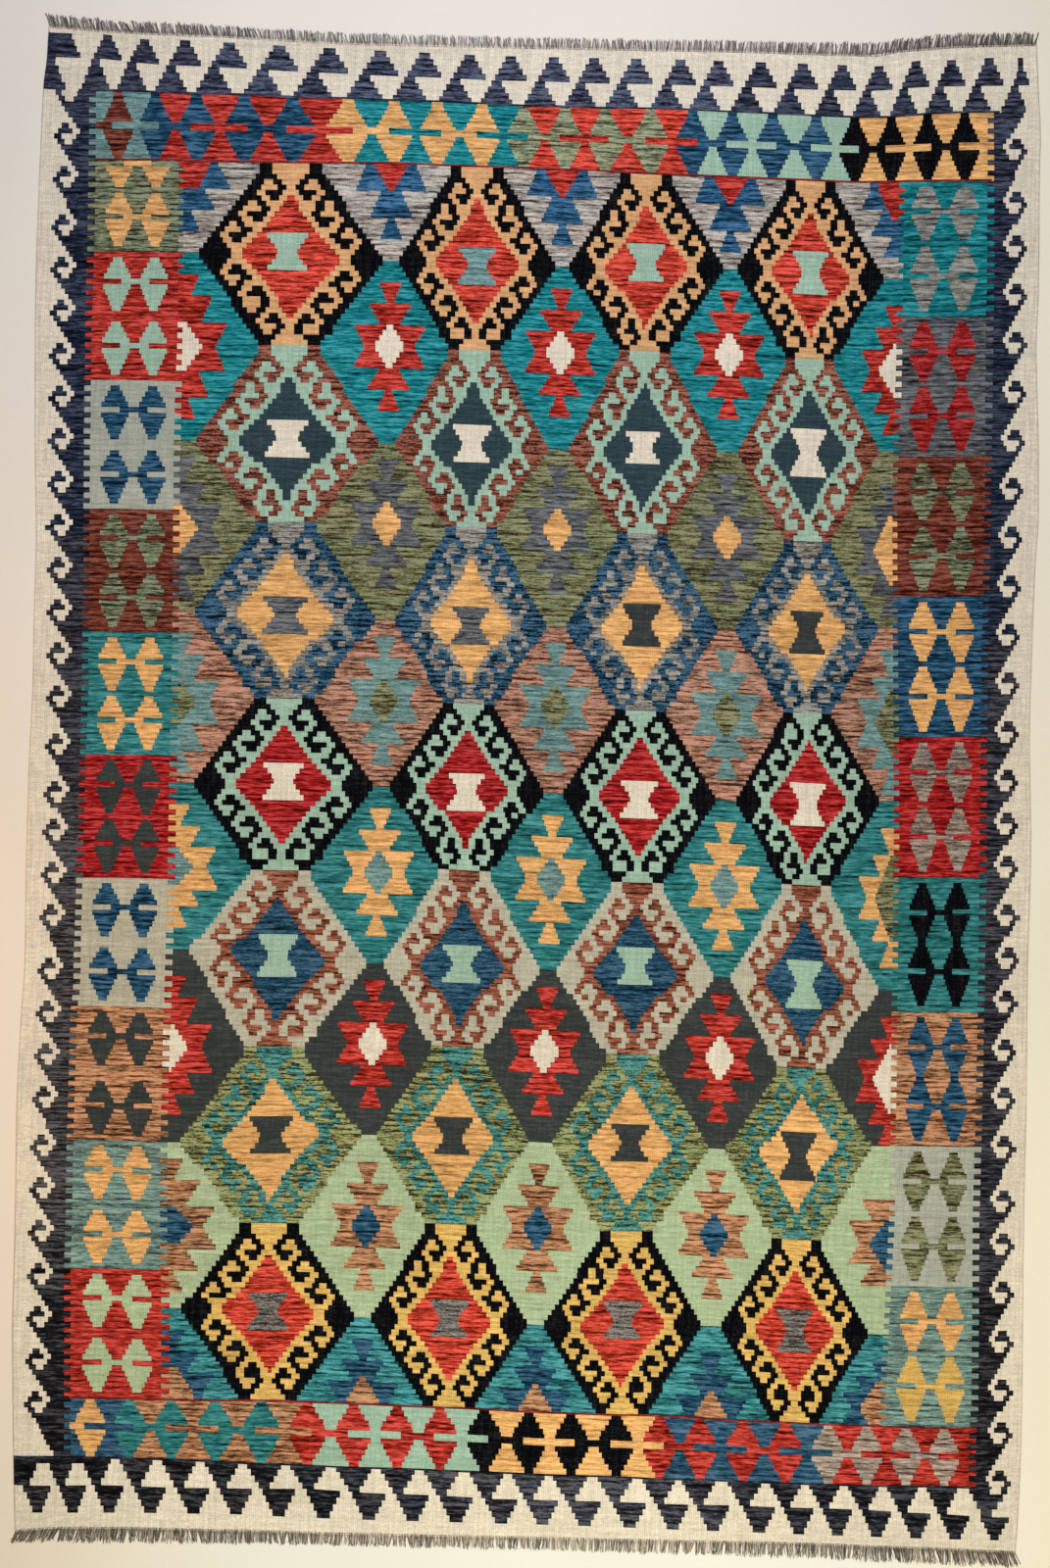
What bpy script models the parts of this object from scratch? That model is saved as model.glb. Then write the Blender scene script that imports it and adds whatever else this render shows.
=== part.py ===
"""Flat-woven kilim rug, about 2.0 m x 3.0 m, lying flat.

Three pieces: the woven cloth with its corded selvedges, and one comb of
short warp ends along each end.  Metres, +Z up, +Y along the length, origin
at the middle of the underside.
"""
import math

import bpy
import bmesh

MM = 0.001

# ---- driving dimensions, mm ------------------------------------------------
CLOTH_THICK = 3.0        # weft-faced wool weave on cotton warps
EDGE_ROUND = 0.9         # soft shoulder of the rim
CORD_HEIGHT = 3.05       # top of the two selvedge cords on each long side
CORD_PITCH = 7.0         # from one selvedge cord to the next
GAP = 0.3                # clearance between the cloth and each fringe comb
FRINGE_THICK = 2.0       # thickness of the warp ends where they leave the weave
TUFT_PITCH = 18.4        # spacing of the bunches of warp ends
TUFT_WIDTH = 14.0        # width of one bunch at its root
TUFT_TIP = 10.5          # width of one bunch at its tip
SPINE_DEPTH = 3.5        # where the bunches still touch one another

SHIFT_X = -0.377        # brings the middle of the outline to the origin
SHIFT_Y = 0.267

# ---- outline of the woven cloth, mm ----------------------------------------
# station along the length, where the left and the right selvedge lie there
SELVEDGES = (
    # y,     left,   right
    (1512.0, -986.0,  995.0),
    (1425.0, -992.0, 1000.0),
    (1320.0, -997.0, 1006.0),
    (1160.0, -1000.0, 1006.0),
    (1020.0, -1002.0, 1008.0),
    (890.0, -1002.0, 1006.0),
    (680.0, -998.0, 1013.0),
    (570.0, -995.0, 1015.0),
    (460.0, -993.0, 1011.0),
    (305.0, -994.0, 1007.0),
    (95.0, -997.0, 1006.0),
    (-80.0, -1000.0, 1011.0),
    (-360.0, -1000.0, 1010.0),
    (-560.0, -1008.0, 1011.0),
    (-760.0, -1011.0, 1011.0),
    (-1055.0, -1012.0, 1013.0),
    (-1250.0, -1008.0, 1014.0),
    (-1385.0, -1004.0, 1012.0),
    (-1505.0, -1000.0, 1006.0),
)
# station across the width, where the weave ends at the top and at the bottom,
# and how far the warp ends reach past it
ENDS = (
    # x,      top,    bottom,  top fringe, bottom fringe
    (-1000.0, 1513.0, -1505.0, 26.0, 30.0),
    (-950.0, 1512.0, -1498.0, 26.0, 27.0),
    (-885.0, 1507.0, -1495.0, 23.0, 26.0),
    (-830.0, 1503.0, -1493.0, 24.0, 25.0),
    (-710.0, 1499.0, -1493.0, 23.0, 26.0),
    (-542.0, 1495.0, -1495.0, 26.0, 26.0),
    (-385.0, 1489.0, -1497.0, 25.0, 25.0),
    (-205.0, 1486.0, -1498.0, 26.0, 25.0),
    (60.0, 1487.0, -1498.0, 24.0, 29.0),
    (320.0, 1487.0, -1499.0, 24.0, 29.0),
    (585.0, 1485.0, -1501.0, 21.0, 28.0),
    (675.0, 1488.0, -1503.0, 23.0, 29.0),
    (718.0, 1493.0, -1504.0, 24.0, 29.0),
    (793.0, 1503.0, -1506.0, 25.0, 29.0),
    (878.0, 1506.0, -1508.0, 24.0, 30.0),
    (973.0, 1510.0, -1511.0, 21.0, 27.0),
    (1015.0, 1511.0, -1512.0, 21.0, 25.0),
)
# station across the width, lean of the warp ends there in degrees
LEANS = (
    # x,      top,   bottom
    (-1000.0, -24.0, -34.0),
    (-930.0, -16.0, -24.0),
    (-830.0, -24.0, -8.0),
    (-640.0, -12.0, 3.0),
    (-360.0, -4.0, -4.0),
    (0.0, -3.0, 2.0),
    (400.0, 4.0, -3.0),
    (700.0, 8.0, 4.0),
    (880.0, 3.0, 12.0),
    (1015.0, 10.0, 26.0),
)

BANDS = 30               # divisions of the cloth along its length
PANELS = 12              # divisions of the cloth between its selvedges


def at(table, column, where):
    """Value of a column of a table at a station, read along a smooth curve."""
    rows = sorted(table)
    keys = [row[0] for row in rows]
    vals = [row[column] for row in rows]
    n = len(keys)
    if where <= keys[0]:
        return vals[0]
    if where >= keys[-1]:
        return vals[-1]
    i = max(k for k in range(n) if keys[k] <= where)
    i = min(i, n - 2)
    h = keys[i + 1] - keys[i]
    t = (where - keys[i]) / h

    def slope(k):
        if k == 0:
            return (vals[1] - vals[0]) / (keys[1] - keys[0])
        if k == n - 1:
            return (vals[-1] - vals[-2]) / (keys[-1] - keys[-2])
        a = (vals[k] - vals[k - 1]) / (keys[k] - keys[k - 1])
        b = (vals[k + 1] - vals[k]) / (keys[k + 1] - keys[k])
        return 0.0 if a * b <= 0.0 else 2.0 * a * b / (a + b)

    m0, m1 = slope(i) * h, slope(i + 1) * h
    t2, t3 = t * t, t * t * t
    return ((2 * t3 - 3 * t2 + 1) * vals[i] + (t3 - 2 * t2 + t) * m0
            + (-2 * t3 + 3 * t2) * vals[i + 1] + (t3 - t2) * m1)


def place(x, y, z):
    return ((x + SHIFT_X) * MM, (y + SHIFT_Y) * MM, z * MM)


def material(name, colour, roughness):
    mat = bpy.data.materials.new(name)
    mat.use_nodes = True
    bsdf = mat.node_tree.nodes["Principled BSDF"]
    bsdf.inputs["Base Color"].default_value = (*colour, 1.0)
    bsdf.inputs["Roughness"].default_value = roughness
    bsdf.inputs["Metallic"].default_value = 0.0
    return mat


def add_object(name, bm, mat):
    bmesh.ops.recalc_face_normals(bm, faces=bm.faces)
    mesh = bpy.data.meshes.new(name)
    bm.to_mesh(mesh)
    bm.free()
    mesh.materials.append(mat)
    obj = bpy.data.objects.new(name, mesh)
    bpy.context.scene.collection.objects.link(obj)
    return obj


def selvedge_profile():
    """Offsets from the edge inwards with the height of the face there: a soft
    shoulder, two cords side by side, then the level ground of the weave."""
    half = CORD_PITCH / 2.0
    return [(0.0, CORD_HEIGHT * 0.45), (0.9, CORD_HEIGHT * 0.88),
            (half, CORD_HEIGHT), (CORD_PITCH, CLOTH_THICK - 0.4),
            (CORD_PITCH + half, CORD_HEIGHT - 0.05),
            (2.0 * CORD_PITCH, CLOTH_THICK - 0.25),
            (2.0 * CORD_PITCH + 4.0, CLOTH_THICK)]


def cross_stations(mid_y):
    """Stations across the cloth at a place along it, with the height of the
    face at each: selvedge, level ground, selvedge."""
    profile = selvedge_profile()
    left, right = at(SELVEDGES, 1, mid_y), at(SELVEDGES, 2, mid_y)
    inner_l, inner_r = left + profile[-1][0], right - profile[-1][0]
    xs = [(left + d, h) for d, h in profile]
    xs += [(inner_l + (inner_r - inner_l) * k / PANELS, CLOTH_THICK)
           for k in range(1, PANELS)]
    xs += [(right - d, h) for d, h in reversed(profile)]
    return xs


def cloth():
    """The woven slab: a level underside, a face that carries the selvedge
    cords, and an outline that wanders as a hand-woven piece does."""
    rows = []
    for j in range(BANDS + 1):
        v = j / BANDS
        row = []
        for x, h in cross_stations(1500.0 - 3000.0 * v):
            top, low = at(ENDS, 1, x), at(ENDS, 2, x)
            row.append((x, top + (low - top) * v, h))
        rows.append(row)
    bm = bmesh.new()
    upper, lower = [], []
    for j, row in enumerate(rows):
        drop = EDGE_ROUND if j in (0, BANDS) else 0.0
        upper.append([bm.verts.new(place(x, y, h - drop)) for x, y, h in row])
        lower.append([bm.verts.new(place(x, y, 0.0)) for x, y, h in row])
    n = len(rows[0])
    for j in range(BANDS):
        for i in range(n - 1):
            bm.faces.new((upper[j][i], upper[j + 1][i],
                          upper[j + 1][i + 1], upper[j][i + 1]))
            bm.faces.new((lower[j][i], lower[j][i + 1],
                          lower[j + 1][i + 1], lower[j + 1][i]))
        bm.faces.new((upper[j][0], lower[j][0], lower[j + 1][0], upper[j + 1][0]))
        bm.faces.new((upper[j][-1], upper[j + 1][-1], lower[j + 1][-1], lower[j][-1]))
    for i in range(n - 1):
        bm.faces.new((upper[0][i], upper[0][i + 1], lower[0][i + 1], lower[0][i]))
        bm.faces.new((upper[-1][i], lower[-1][i], lower[-1][i + 1], upper[-1][i + 1]))
    return bm


def comb(side):
    """One comb of warp ends: a narrow spine against the cloth, and a bunch of
    yarns every TUFT_PITCH that leans and varies in length along the edge."""
    end_col, len_col, lean_col = (1, 3, 1) if side > 0 else (2, 4, 2)
    woven = [x for x, _ in cross_stations(side * 1500.0)]
    left, right = woven[0] + 0.5, woven[-1] - 0.5
    count = int((right - left) // TUFT_PITCH)
    pitch = (right - left) / count
    root = pitch * TUFT_WIDTH / TUFT_PITCH
    roots = [(left + pitch * k + (pitch - root) / 2.0,
              left + pitch * k + (pitch + root) / 2.0) for k in range(count)]
    marks = [left, right] + [x for pair in roots for x in pair]
    marks += [x for x in woven if left < x < right
              and min(abs(x - m) for m in marks) > 0.4]
    stations = sorted(marks)

    def weave_end(x):
        """The straight edge between the stations of the cloth's own end."""
        i = max(k for k in range(len(woven) - 1) if woven[k] <= x)
        a, b = woven[i], woven[i + 1]
        ya, yb = at(ENDS, end_col, a), at(ENDS, end_col, b)
        return ya + (yb - ya) * (x - a) / (b - a)

    bm = bmesh.new()
    inner = [bm.verts.new(place(x, weave_end(x) + side * GAP, 0.0)) for x in stations]
    outer = [bm.verts.new(place(x, weave_end(x) + side * (GAP + SPINE_DEPTH), 0.0))
             for x in stations]
    faces = [bm.faces.new((inner[i], inner[i + 1], outer[i + 1], outer[i]))
             for i in range(len(stations) - 1)]
    for k, (a, b) in enumerate(roots):
        base = [outer[i] for i, x in enumerate(stations) if a <= x <= b]
        mid = (a + b) / 2.0
        reach = at(ENDS, len_col, mid) * (1.0 + 0.06 * math.sin(k * 2.4)
                                          - 0.05 * (k % 3 == 1))
        lean = math.tan(math.radians(at(LEANS, lean_col, mid) + 5.0 * math.sin(k * 1.7)))
        tip = TUFT_TIP * (0.92 + 0.1 * math.sin(k * 3.1))
        x0 = mid + lean * reach
        edge = weave_end(mid) + side * GAP
        t0 = bm.verts.new(place(x0 - tip / 2.0, edge + side * (reach - 0.8), 0.0))
        t1 = bm.verts.new(place(x0 + tip / 2.0, edge + side * reach, 0.0))
        faces.append(bm.faces.new(base + [t1, t0]))
    bmesh.ops.recalc_face_normals(bm, faces=bm.faces)
    grown = bmesh.ops.extrude_face_region(bm, geom=faces)
    for v in (g for g in grown["geom"] if isinstance(g, bmesh.types.BMVert)):
        v.co.z = FRINGE_THICK * MM
    return bm


def main():
    for obj in list(bpy.data.objects):
        bpy.data.objects.remove(obj, do_unlink=True)
    wool = material("wool_weave", (0.36, 0.16, 0.10), 0.92)
    yarn_top = material("warp_yarn_top", (0.27, 0.24, 0.22), 0.95)
    yarn_low = material("warp_yarn_bottom", (0.27, 0.24, 0.22), 0.95)
    rug = bpy.data.objects.new("kilim_rug", None)
    bpy.context.scene.collection.objects.link(rug)
    for name, bm, mat in (("kilim_cloth", cloth(), wool),
                          ("fringe_top", comb(1), yarn_top),
                          ("fringe_bottom", comb(-1), yarn_low)):
        piece = add_object(name, bm, mat)
        piece.parent = rug


main()
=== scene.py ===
import math
import random

import bpy
import numpy as np
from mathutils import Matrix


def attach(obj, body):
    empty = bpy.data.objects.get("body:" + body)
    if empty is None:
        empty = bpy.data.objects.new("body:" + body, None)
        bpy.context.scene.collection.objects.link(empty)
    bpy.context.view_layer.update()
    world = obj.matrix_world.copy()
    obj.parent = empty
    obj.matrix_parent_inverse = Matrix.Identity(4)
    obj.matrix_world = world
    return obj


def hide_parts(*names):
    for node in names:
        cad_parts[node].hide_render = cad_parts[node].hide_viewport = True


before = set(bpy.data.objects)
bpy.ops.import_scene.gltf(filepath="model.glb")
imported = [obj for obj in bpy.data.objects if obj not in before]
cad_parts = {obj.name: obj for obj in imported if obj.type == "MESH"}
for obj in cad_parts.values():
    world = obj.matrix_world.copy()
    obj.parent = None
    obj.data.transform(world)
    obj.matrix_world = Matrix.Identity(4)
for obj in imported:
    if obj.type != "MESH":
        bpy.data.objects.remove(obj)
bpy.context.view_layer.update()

# ---------------------------------------------------------------------------
# Survey units.  The rug is laid out in units of 1.965 mm, x to the right and
# y towards the near end, with axes turned 1.02 degrees from the rug's own.
# ---------------------------------------------------------------------------
UNIT = 1.965
TURN = math.radians(1.02)
MID_X, MID_Y = 537.5, 806.0
SHIFT_X, SHIFT_Y = -0.377, 0.267
COS, SIN = math.cos(TURN), math.sin(TURN)


def place(x, y):
    """Survey units to rug coordinates in metres."""
    dx, dy = x - MID_X, y - MID_Y
    return ((UNIT * (dx * COS + dy * SIN) + SHIFT_X) * 0.001,
            (UNIT * (dx * SIN - dy * COS) + SHIFT_Y) * 0.001)


def smooth_table(pairs):
    """Monotone cubic through a short table of (where, value)."""
    xs = np.array([p[0] for p in pairs], float)
    ys = np.array([p[1] for p in pairs], float)
    h = np.diff(xs)
    d = np.diff(ys) / h
    m = np.zeros(len(xs))
    m[0], m[-1] = d[0], d[-1]
    for i in range(1, len(xs) - 1):
        if d[i - 1] * d[i] > 0.0:
            w1, w2 = 2 * h[i] + h[i - 1], h[i] + 2 * h[i - 1]
            m[i] = (w1 + w2) / (w1 / d[i - 1] + w2 / d[i])

    def at(where):
        w = np.clip(np.asarray(where, float), xs[0], xs[-1])
        i = np.clip(np.searchsorted(xs, w, side="right") - 1, 0, len(xs) - 2)
        t = (w - xs[i]) / h[i]
        return (ys[i] * (1 + 2 * t) * (1 - t) ** 2 + m[i] * h[i] * t * (1 - t) ** 2
                + ys[i + 1] * t * t * (3 - 2 * t) + m[i + 1] * h[i] * t * t * (t - 1))
    return at


def straight_table(pairs):
    xs = [p[0] for p in pairs]
    ys = [p[1] for p in pairs]
    return lambda where: np.interp(where, xs, ys)


# Long edges of the cloth, (y, x).
EDGE_LEFT = smooth_table([
    (27, 49.8), (65, 47.3), (80, 45.0), (128, 42.3), (207, 39.0), (275, 36.7),
    (356, 35.6), (455, 35.6), (546, 36.7), (638, 34.4), (700, 33.3), (772, 29.8),
    (887, 26.4), (978, 25.3), (1030, 21.8), (1135, 17.0), (1227, 16.0),
    (1318, 13.8), (1355, 12.8), (1483, 13.8), (1530, 14.5), (1562, 15.2)])
EDGE_RIGHT = smooth_table([
    (45.6, 1057.5), (90, 1059.2), (140, 1061.5), (180, 1060.3), (250, 1060.0),
    (300, 1059.5), (355, 1057.2), (465, 1059.5), (520, 1059.5), (580, 1056.0),
    (660, 1052.8), (765, 1050.3), (855, 1051.5), (1000, 1048.0), (1130, 1046.9),
    (1240, 1044.6), (1350, 1043.4), (1450, 1042.3), (1520, 1040.0),
    (1560, 1037.7), (1584, 1035.8)])

# Weft lines, (x, y), by number: 274 rows of pattern between -22 and 252.
WEFT = {
    -22: [(42, 27), (50, 27), (114, 33), (230, 38), (355, 45), (540, 49), (757, 53),
          (849, 56), (896, 57), (916, 52.8), (976, 48), (1056, 46)],
    -21: [(42, 32.4), (60, 33.6), (110, 35.4), (147, 40.4), (188, 41), (300, 47.5),
          (500, 57), (700, 61), (849, 66), (896, 68), (934, 62), (970, 61.5),
          (1009, 59), (1041, 59)],
    -17: [(42, 58), (60, 58.5), (110, 60.6), (150, 65.5), (188, 67), (300, 73),
          (500, 82), (700, 87), (849, 92), (896, 93.3), (934, 89), (970, 88.2),
          (1009, 87.6), (1041, 87)],
    -13: [(45, 91), (80, 93), (125, 93.7), (355, 101), (540, 108.5), (700, 112.5),
          (870, 120.5), (908, 120.5), (958, 115.5), (1030, 115)],
    0: [(100, 164), (150, 164), (297, 166.5), (400, 167.5), (485, 170.5), (540, 172),
        (657, 177.5), (700, 179.5), (836, 185.5), (870, 186.5), (960, 185.2), (1040, 185)],
    231: [(60, 1425), (100, 1425), (180, 1428), (297, 1428.5), (485, 1436.6),
          (600, 1442.6), (657, 1443.2), (700, 1445), (836, 1452.5), (900, 1455),
          (960, 1456.5), (1030, 1457)],
    242: [(20, 1485), (60, 1485), (90, 1486), (150, 1487.5), (290, 1493.7),
          (375, 1497), (450, 1499), (550, 1504), (700, 1508.5), (826, 1514),
          (900, 1515.4), (1000, 1517)],
    246: [(20, 1515.3), (110, 1515.7), (197, 1518.6), (285, 1519), (330, 1520),
          (376, 1523.4), (465, 1526.4), (511, 1530.4), (596, 1531.6), (894, 1541),
          (934, 1544), (1014, 1548)],
    250: [(20, 1543.3), (153, 1543.8), (240, 1545.2), (330, 1549.5), (420, 1552),
          (511, 1554.8), (596, 1557), (800, 1565), (894, 1568.4), (974, 1571),
          (1014, 1571.6)],
    252: [(14, 1562), (50, 1559), (130, 1559), (165, 1560), (400, 1566), (540, 1569),
          (700, 1572.5), (826, 1575), (880, 1577.4), (953, 1580), (1038, 1584)],
}
KEYS = sorted(WEFT)
LINES = {k: straight_table(WEFT[k]) for k in KEYS}
FIRST, LAST = KEYS[0], KEYS[-1]


def wobble(x, g):
    """Slow wandering of the weft across the cloth."""
    x = np.asarray(x, float)
    return (0.34 * np.sin(x / 41.0 + g * 0.113 + 1.3) * np.sin(g * 0.071 + x / 190.0)
            + 0.22 * np.sin(x / 17.0 - g * 0.21))


def line_y(g, x):
    x = np.asarray(x, float)
    if g <= FIRST:
        return LINES[FIRST](x)
    if g >= LAST:
        return LINES[LAST](x)
    i = max(k for k in range(len(KEYS)) if KEYS[k] <= g)
    a, b = KEYS[i], KEYS[i + 1]
    t = (g - a) / (b - a)
    y = LINES[a](x) * (1 - t) + LINES[b](x) * t
    return y + wobble(x, g) * min(1.0, (g - FIRST) / 6.0, (LAST - g) / 6.0)


# ---------------------------------------------------------------------------
# Yarns: colour, how strongly it is streaked, how much it is speckled.
# ---------------------------------------------------------------------------
YARN = {
    "ivory": ((225, 211, 190), 0.02, 0.0),
    "navy": ((29, 38, 57), 0.60, 0.1),
    "ink": ((43, 44, 52), 0.60, 0.1),
    "charcoal_marl": ((57, 56, 59), 0.75, 0.2),
    "jet": ((25, 24, 30), 0.55, 0.1),
    "dusk": ((62, 68, 87), 0.70, 0.2),
    "dusk_low": ((45, 50, 67), 0.60, 0.1),
    "ink_low": ((28, 30, 39), 0.60, 0.1),
    "ink_pale": ((51, 53, 63), 0.75, 0.2),
    "black": ((2, 3, 7), 0.02, 0.0),
    "red": ((170, 44, 33), 0.60, 0.0),
    "brick": ((185, 55, 38), 0.60, 0.1),
    "crimson": ((156, 24, 25), 0.55, 0.0),
    "orange": ((218, 163, 101), 0.24, 0.0),
    "apricot": ((212, 160, 110), 0.12, 0.0),
    "gold": ((214, 172, 95), 0.16, 0.0),
    "golden": ((202, 162, 87), 0.16, 0.0),
    "teal": ((19, 122, 128), 0.45, 0.0),
    "sea": ((42, 115, 116), 0.42, 0.0),
    "lagoon": ((49, 123, 128), 0.55, 0.1),
    "mint": ((155, 183, 161), 0.05, 0.0),
    "pale_mint": ((169, 184, 146), 0.08, 0.0),
    "sage": ((104, 135, 132), 0.30, 0.1),
    "moss_teal": ((105, 131, 123), 0.45, 0.1),
    "grey": ((159, 150, 140), 0.52, 0.1),
    "silver": ((165, 166, 152), 0.06, 0.0),
    "greige": ((183, 176, 155), 0.08, 0.0),
    "taupe": ((131, 127, 119), 0.55, 0.3),
    "blue": ((28, 72, 99), 0.60, 0.0),
    "denim": ((31, 70, 94), 0.80, 0.6),
    "soft_blue": ((29, 70, 94), 0.50, 0.2),
    "slate": ((87, 89, 91), 0.55, 0.1),
    "deep_slate": ((45, 63, 69), 0.10, 0.0),
    "rust": ((102, 44, 29), 0.60, 0.1),
    "wine": ((120, 30, 28), 0.40, 0.1),
    "rust_marl": ((123, 68, 50), 0.75, 0.5),
    "brown": ((134, 75, 53), 0.60, 0.2),
    "copper": ((162, 114, 80), 0.65, 0.1),
    "pink": ((151, 108, 87), 0.70, 0.2),
    "olive": ((106, 107, 74), 0.65, 0.3),
    "olive_marl": ((119, 123, 78), 0.80, 0.5),
    "leek": ((61, 119, 113), 0.60, 0.4),
    "green": ((105, 111, 84), 0.72, 0.2),
    "sky": ((38, 84, 116), 0.60, 0.1),
    "fern": ((128, 133, 102), 0.62, 0.2),
    "stone": ((125, 124, 116), 0.50, 0.1),
    "fawn": ((133, 117, 105), 0.50, 0.2),
    "sand_grey": ((150, 134, 122), 0.45, 0.1),
    "garnet": ((143, 27, 26), 0.45, 0.1),
    "bay_blue": ((41, 79, 105), 0.50, 0.1),
    "charcoal": ((54, 58, 56), 0.10, 0.0),
    "ash": ((106, 100, 96), 0.55, 0.5),
}


def linear(c):
    c = np.asarray(c, float) / 255.0
    return np.where(c <= 0.04045, c / 12.92, ((c + 0.055) / 1.055) ** 2.4)


# ---------------------------------------------------------------------------
# The woven chart.  Each row keeps a list of stretches painted one over another.
# ---------------------------------------------------------------------------
ROWS = {g: [] for g in range(FIRST, LAST)}


def paint(g, a, b, yarn, lot=0):
    if g in ROWS and b > a:
        ROWS[g].append((a, b, yarn, lot))


def mid_y(g, x):
    return float(line_y(g + 0.5, x))


# Ivory ground of the borders.
for g in ROWS:
    paint(g, 0, 1100, "ivory", 1)

# Where the dark edge of the side blocks stands, two alternating positions.
LEFT_OUT = (straight_table([(130, 91), (250, 89), (320, 87.2), (450, 85.5), (580, 85),
                            (700, 83.3), (830, 80), (905, 77.5), (1010, 74.5),
                            (1030, 72.2), (1090, 70.3), (1163, 68), (1230, 67),
                            (1290, 65.5), (1485, 65.5)]),
            straight_table([(130, 98), (250, 96.5), (320, 93.8), (450, 92), (580, 91),
                            (700, 90), (830, 86), (905, 84), (1010, 81.6), (1030, 79),
                            (1090, 77), (1163, 75), (1230, 74), (1290, 72.2),
                            (1485, 72.2)]))
LEFT_IN = (straight_table([(165, 182), (320, 181.7), (430, 177.8), (480, 176.9),
                           (640, 176), (766, 173), (890, 171), (1020, 167.3),
                           (1090, 165.5), (1163, 163.5), (1290, 163), (1310, 164.5)]),
           straight_table([(165, 187), (320, 186.8), (430, 184.5), (480, 183.6),
                           (640, 182.6), (766, 180.7), (890, 178.8), (1020, 175),
                           (1090, 172.4), (1163, 171), (1290, 170.5), (1310, 173)]))
RIGHT_IN = (straight_table([(190, 917.4), (250, 916.8), (400, 913), (500, 910),
                            (850, 911.6), (1030, 909.7), (1240, 907), (1420, 897.9)]),
            straight_table([(190, 923), (250, 921.6), (400, 919.7), (500, 914.9),
                            (850, 917.3), (1030, 915.4), (1240, 913), (1420, 903.6)]))
RIGHT_OUT = (straight_table([(130, 1007.3), (270, 1006.7), (400, 1004.8), (480, 1004.8),
                             (670, 1001), (905, 998.6), (1060, 996.7), (1250, 992),
                             (1430, 991), (1470, 987.8)]),
             straight_table([(130, 1013.7), (270, 1014.4), (400, 1012.4), (480, 1011.5),
                             (670, 1007.5), (905, 1006), (1060, 1003.4), (1250, 999),
                             (1430, 998), (1470, 995.4)]))


def tooth(pair, g, x):
    return float(pair[g % 2](mid_y(g, x)))


# --- dark bands along the long edges, with a row of running hooks ------------
LEFT_HEADS = [-7, 1, 10, 18, 26, 34, 42, 50, 58, 66, 74, 82, 90, 98, 107, 116, 123, 131,
              139, 149, 157, 165, 173, 182, 190, 198, 206, 214, 222, 230, 238]
RIGHT_HEADS = [-8, 2, 10, 19, 28, 37, 46, 55, 64, 73, 82, 91, 100, 109, 117, 125, 134,
               142, 150, 159, 168, 177, 187, 195, 204, 213, 222, 230, 239, 248]
LEFT_NOTCH = straight_table([(130, 81.5), (225, 78.5), (360, 76), (530, 74), (700, 73.3),
                             (800, 70.7), (890, 67.8), (980, 64.6), (1075, 61),
                             (1165, 57), (1300, 53.8), (1430, 51)])
RIGHT_NOTCH = straight_table([(150, 1023.2), (290, 1023.2), (391, 1022.6), (440, 1021.4),
                              (488, 1019.7), (650, 1015.7), (835, 1013.8), (930, 1013.8),
                              (973, 1015.4), (1023, 1012.6), (1070, 1011.6),
                              (1411, 1008.2), (1460, 1007.6), (1506, 1005.6)])
# (body reaches, dark from, dark to) in steps outward from the notch, top row first.
LEFT_HOOK = [(1, 3, 5), (0, 2, 6), (1, 5, 7), (2, 4, 6), (5, 0, 0), (4, 0, 0), (3, 0, 0),
             (2, 0, 0)]
RIGHT_HOOK = [(1, 3, 6), (0, 2, 7), (1, 6, 8), (2, 5, 7), (6, 0, 0), (5, 0, 0), (4, 0, 0),
              (3, 0, 0), (2, 0, 0)]


def dark_at(side, g):
    """Which dark lot a row of the side bands was woven with."""
    drift = g + random.Random(g * 2 + side).uniform(-5, 5)
    if side == 0:
        return ("navy" if drift < 70 else "ink" if drift < 116
                else "charcoal_marl" if drift < 206 else "jet")
    return ("dusk_low" if drift < -2 else "navy" if drift < 84
            else "ink" if drift < 206 else "jet")


def hook_row(table, n, rows):
    """Row of a hook: the head keeps its rows, the body takes up the difference."""
    if n < 4:
        return table[n]
    return table[4 + int((n - 3.5) * (len(table) - 4) / (rows - 4))]


for k in range(len(LEFT_HEADS) - 1):
    a, b = LEFT_HEADS[k], LEFT_HEADS[k + 1]
    for g in range(a, b):
        if g >= 235 or g < -13:
            continue
        notch = float(LEFT_NOTCH(mid_y(g, 70)))
        body, p, q = hook_row(LEFT_HOOK, g - a, b - a)
        step = 3.75
        paint(g, notch - step * body, 300, dark_at(0, g), 10)
        if q:
            paint(g, notch - step * q, notch - step * p, dark_at(0, g), 10)
for k in range(len(RIGHT_HEADS) - 1):
    a, b = RIGHT_HEADS[k], RIGHT_HEADS[k + 1]
    for g in range(a, b):
        if g >= 242 or g < -13:
            continue
        notch = float(RIGHT_NOTCH(mid_y(g, 1020)))
        body, p, q = hook_row(RIGHT_HOOK, g - a, b - a)
        step = 3.06
        paint(g, 800, notch + step * body, dark_at(1, g), 11)
        if q:
            paint(g, notch + step * p, notch + step * q, dark_at(1, g), 11)

# Below the last left hook the dark body draws back in steps.
for g, x in zip(range(235, 242), (36.5, 39.5, 42.0, 44.5, 47.0, 50.5, 54.5)):
    paint(g, x, 300, dark_at(0, g), 10)
# Corner of the left band under the top border.
for g, a, b in ((-13, 56.5, 63.2), (-12, 59.6, 66.2)):
    paint(g, a, b, "dusk_low", 10)
for g, a in ((-13, 78.7), (-12, 75.0), (-11, 62.7), (-10, 66.0), (-9, 69.3), (-8, 74.0)):
    paint(g, a, 300, "dusk_low", 10)
# Corner of the right band under the top border.
for g, b in ((-13, 1044.3), (-12, 1041.2), (-11, 1038.0), (-10, 1034.8), (-9, 1030.8)):
    paint(g, 800, b, "dusk_low", 11)

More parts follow.
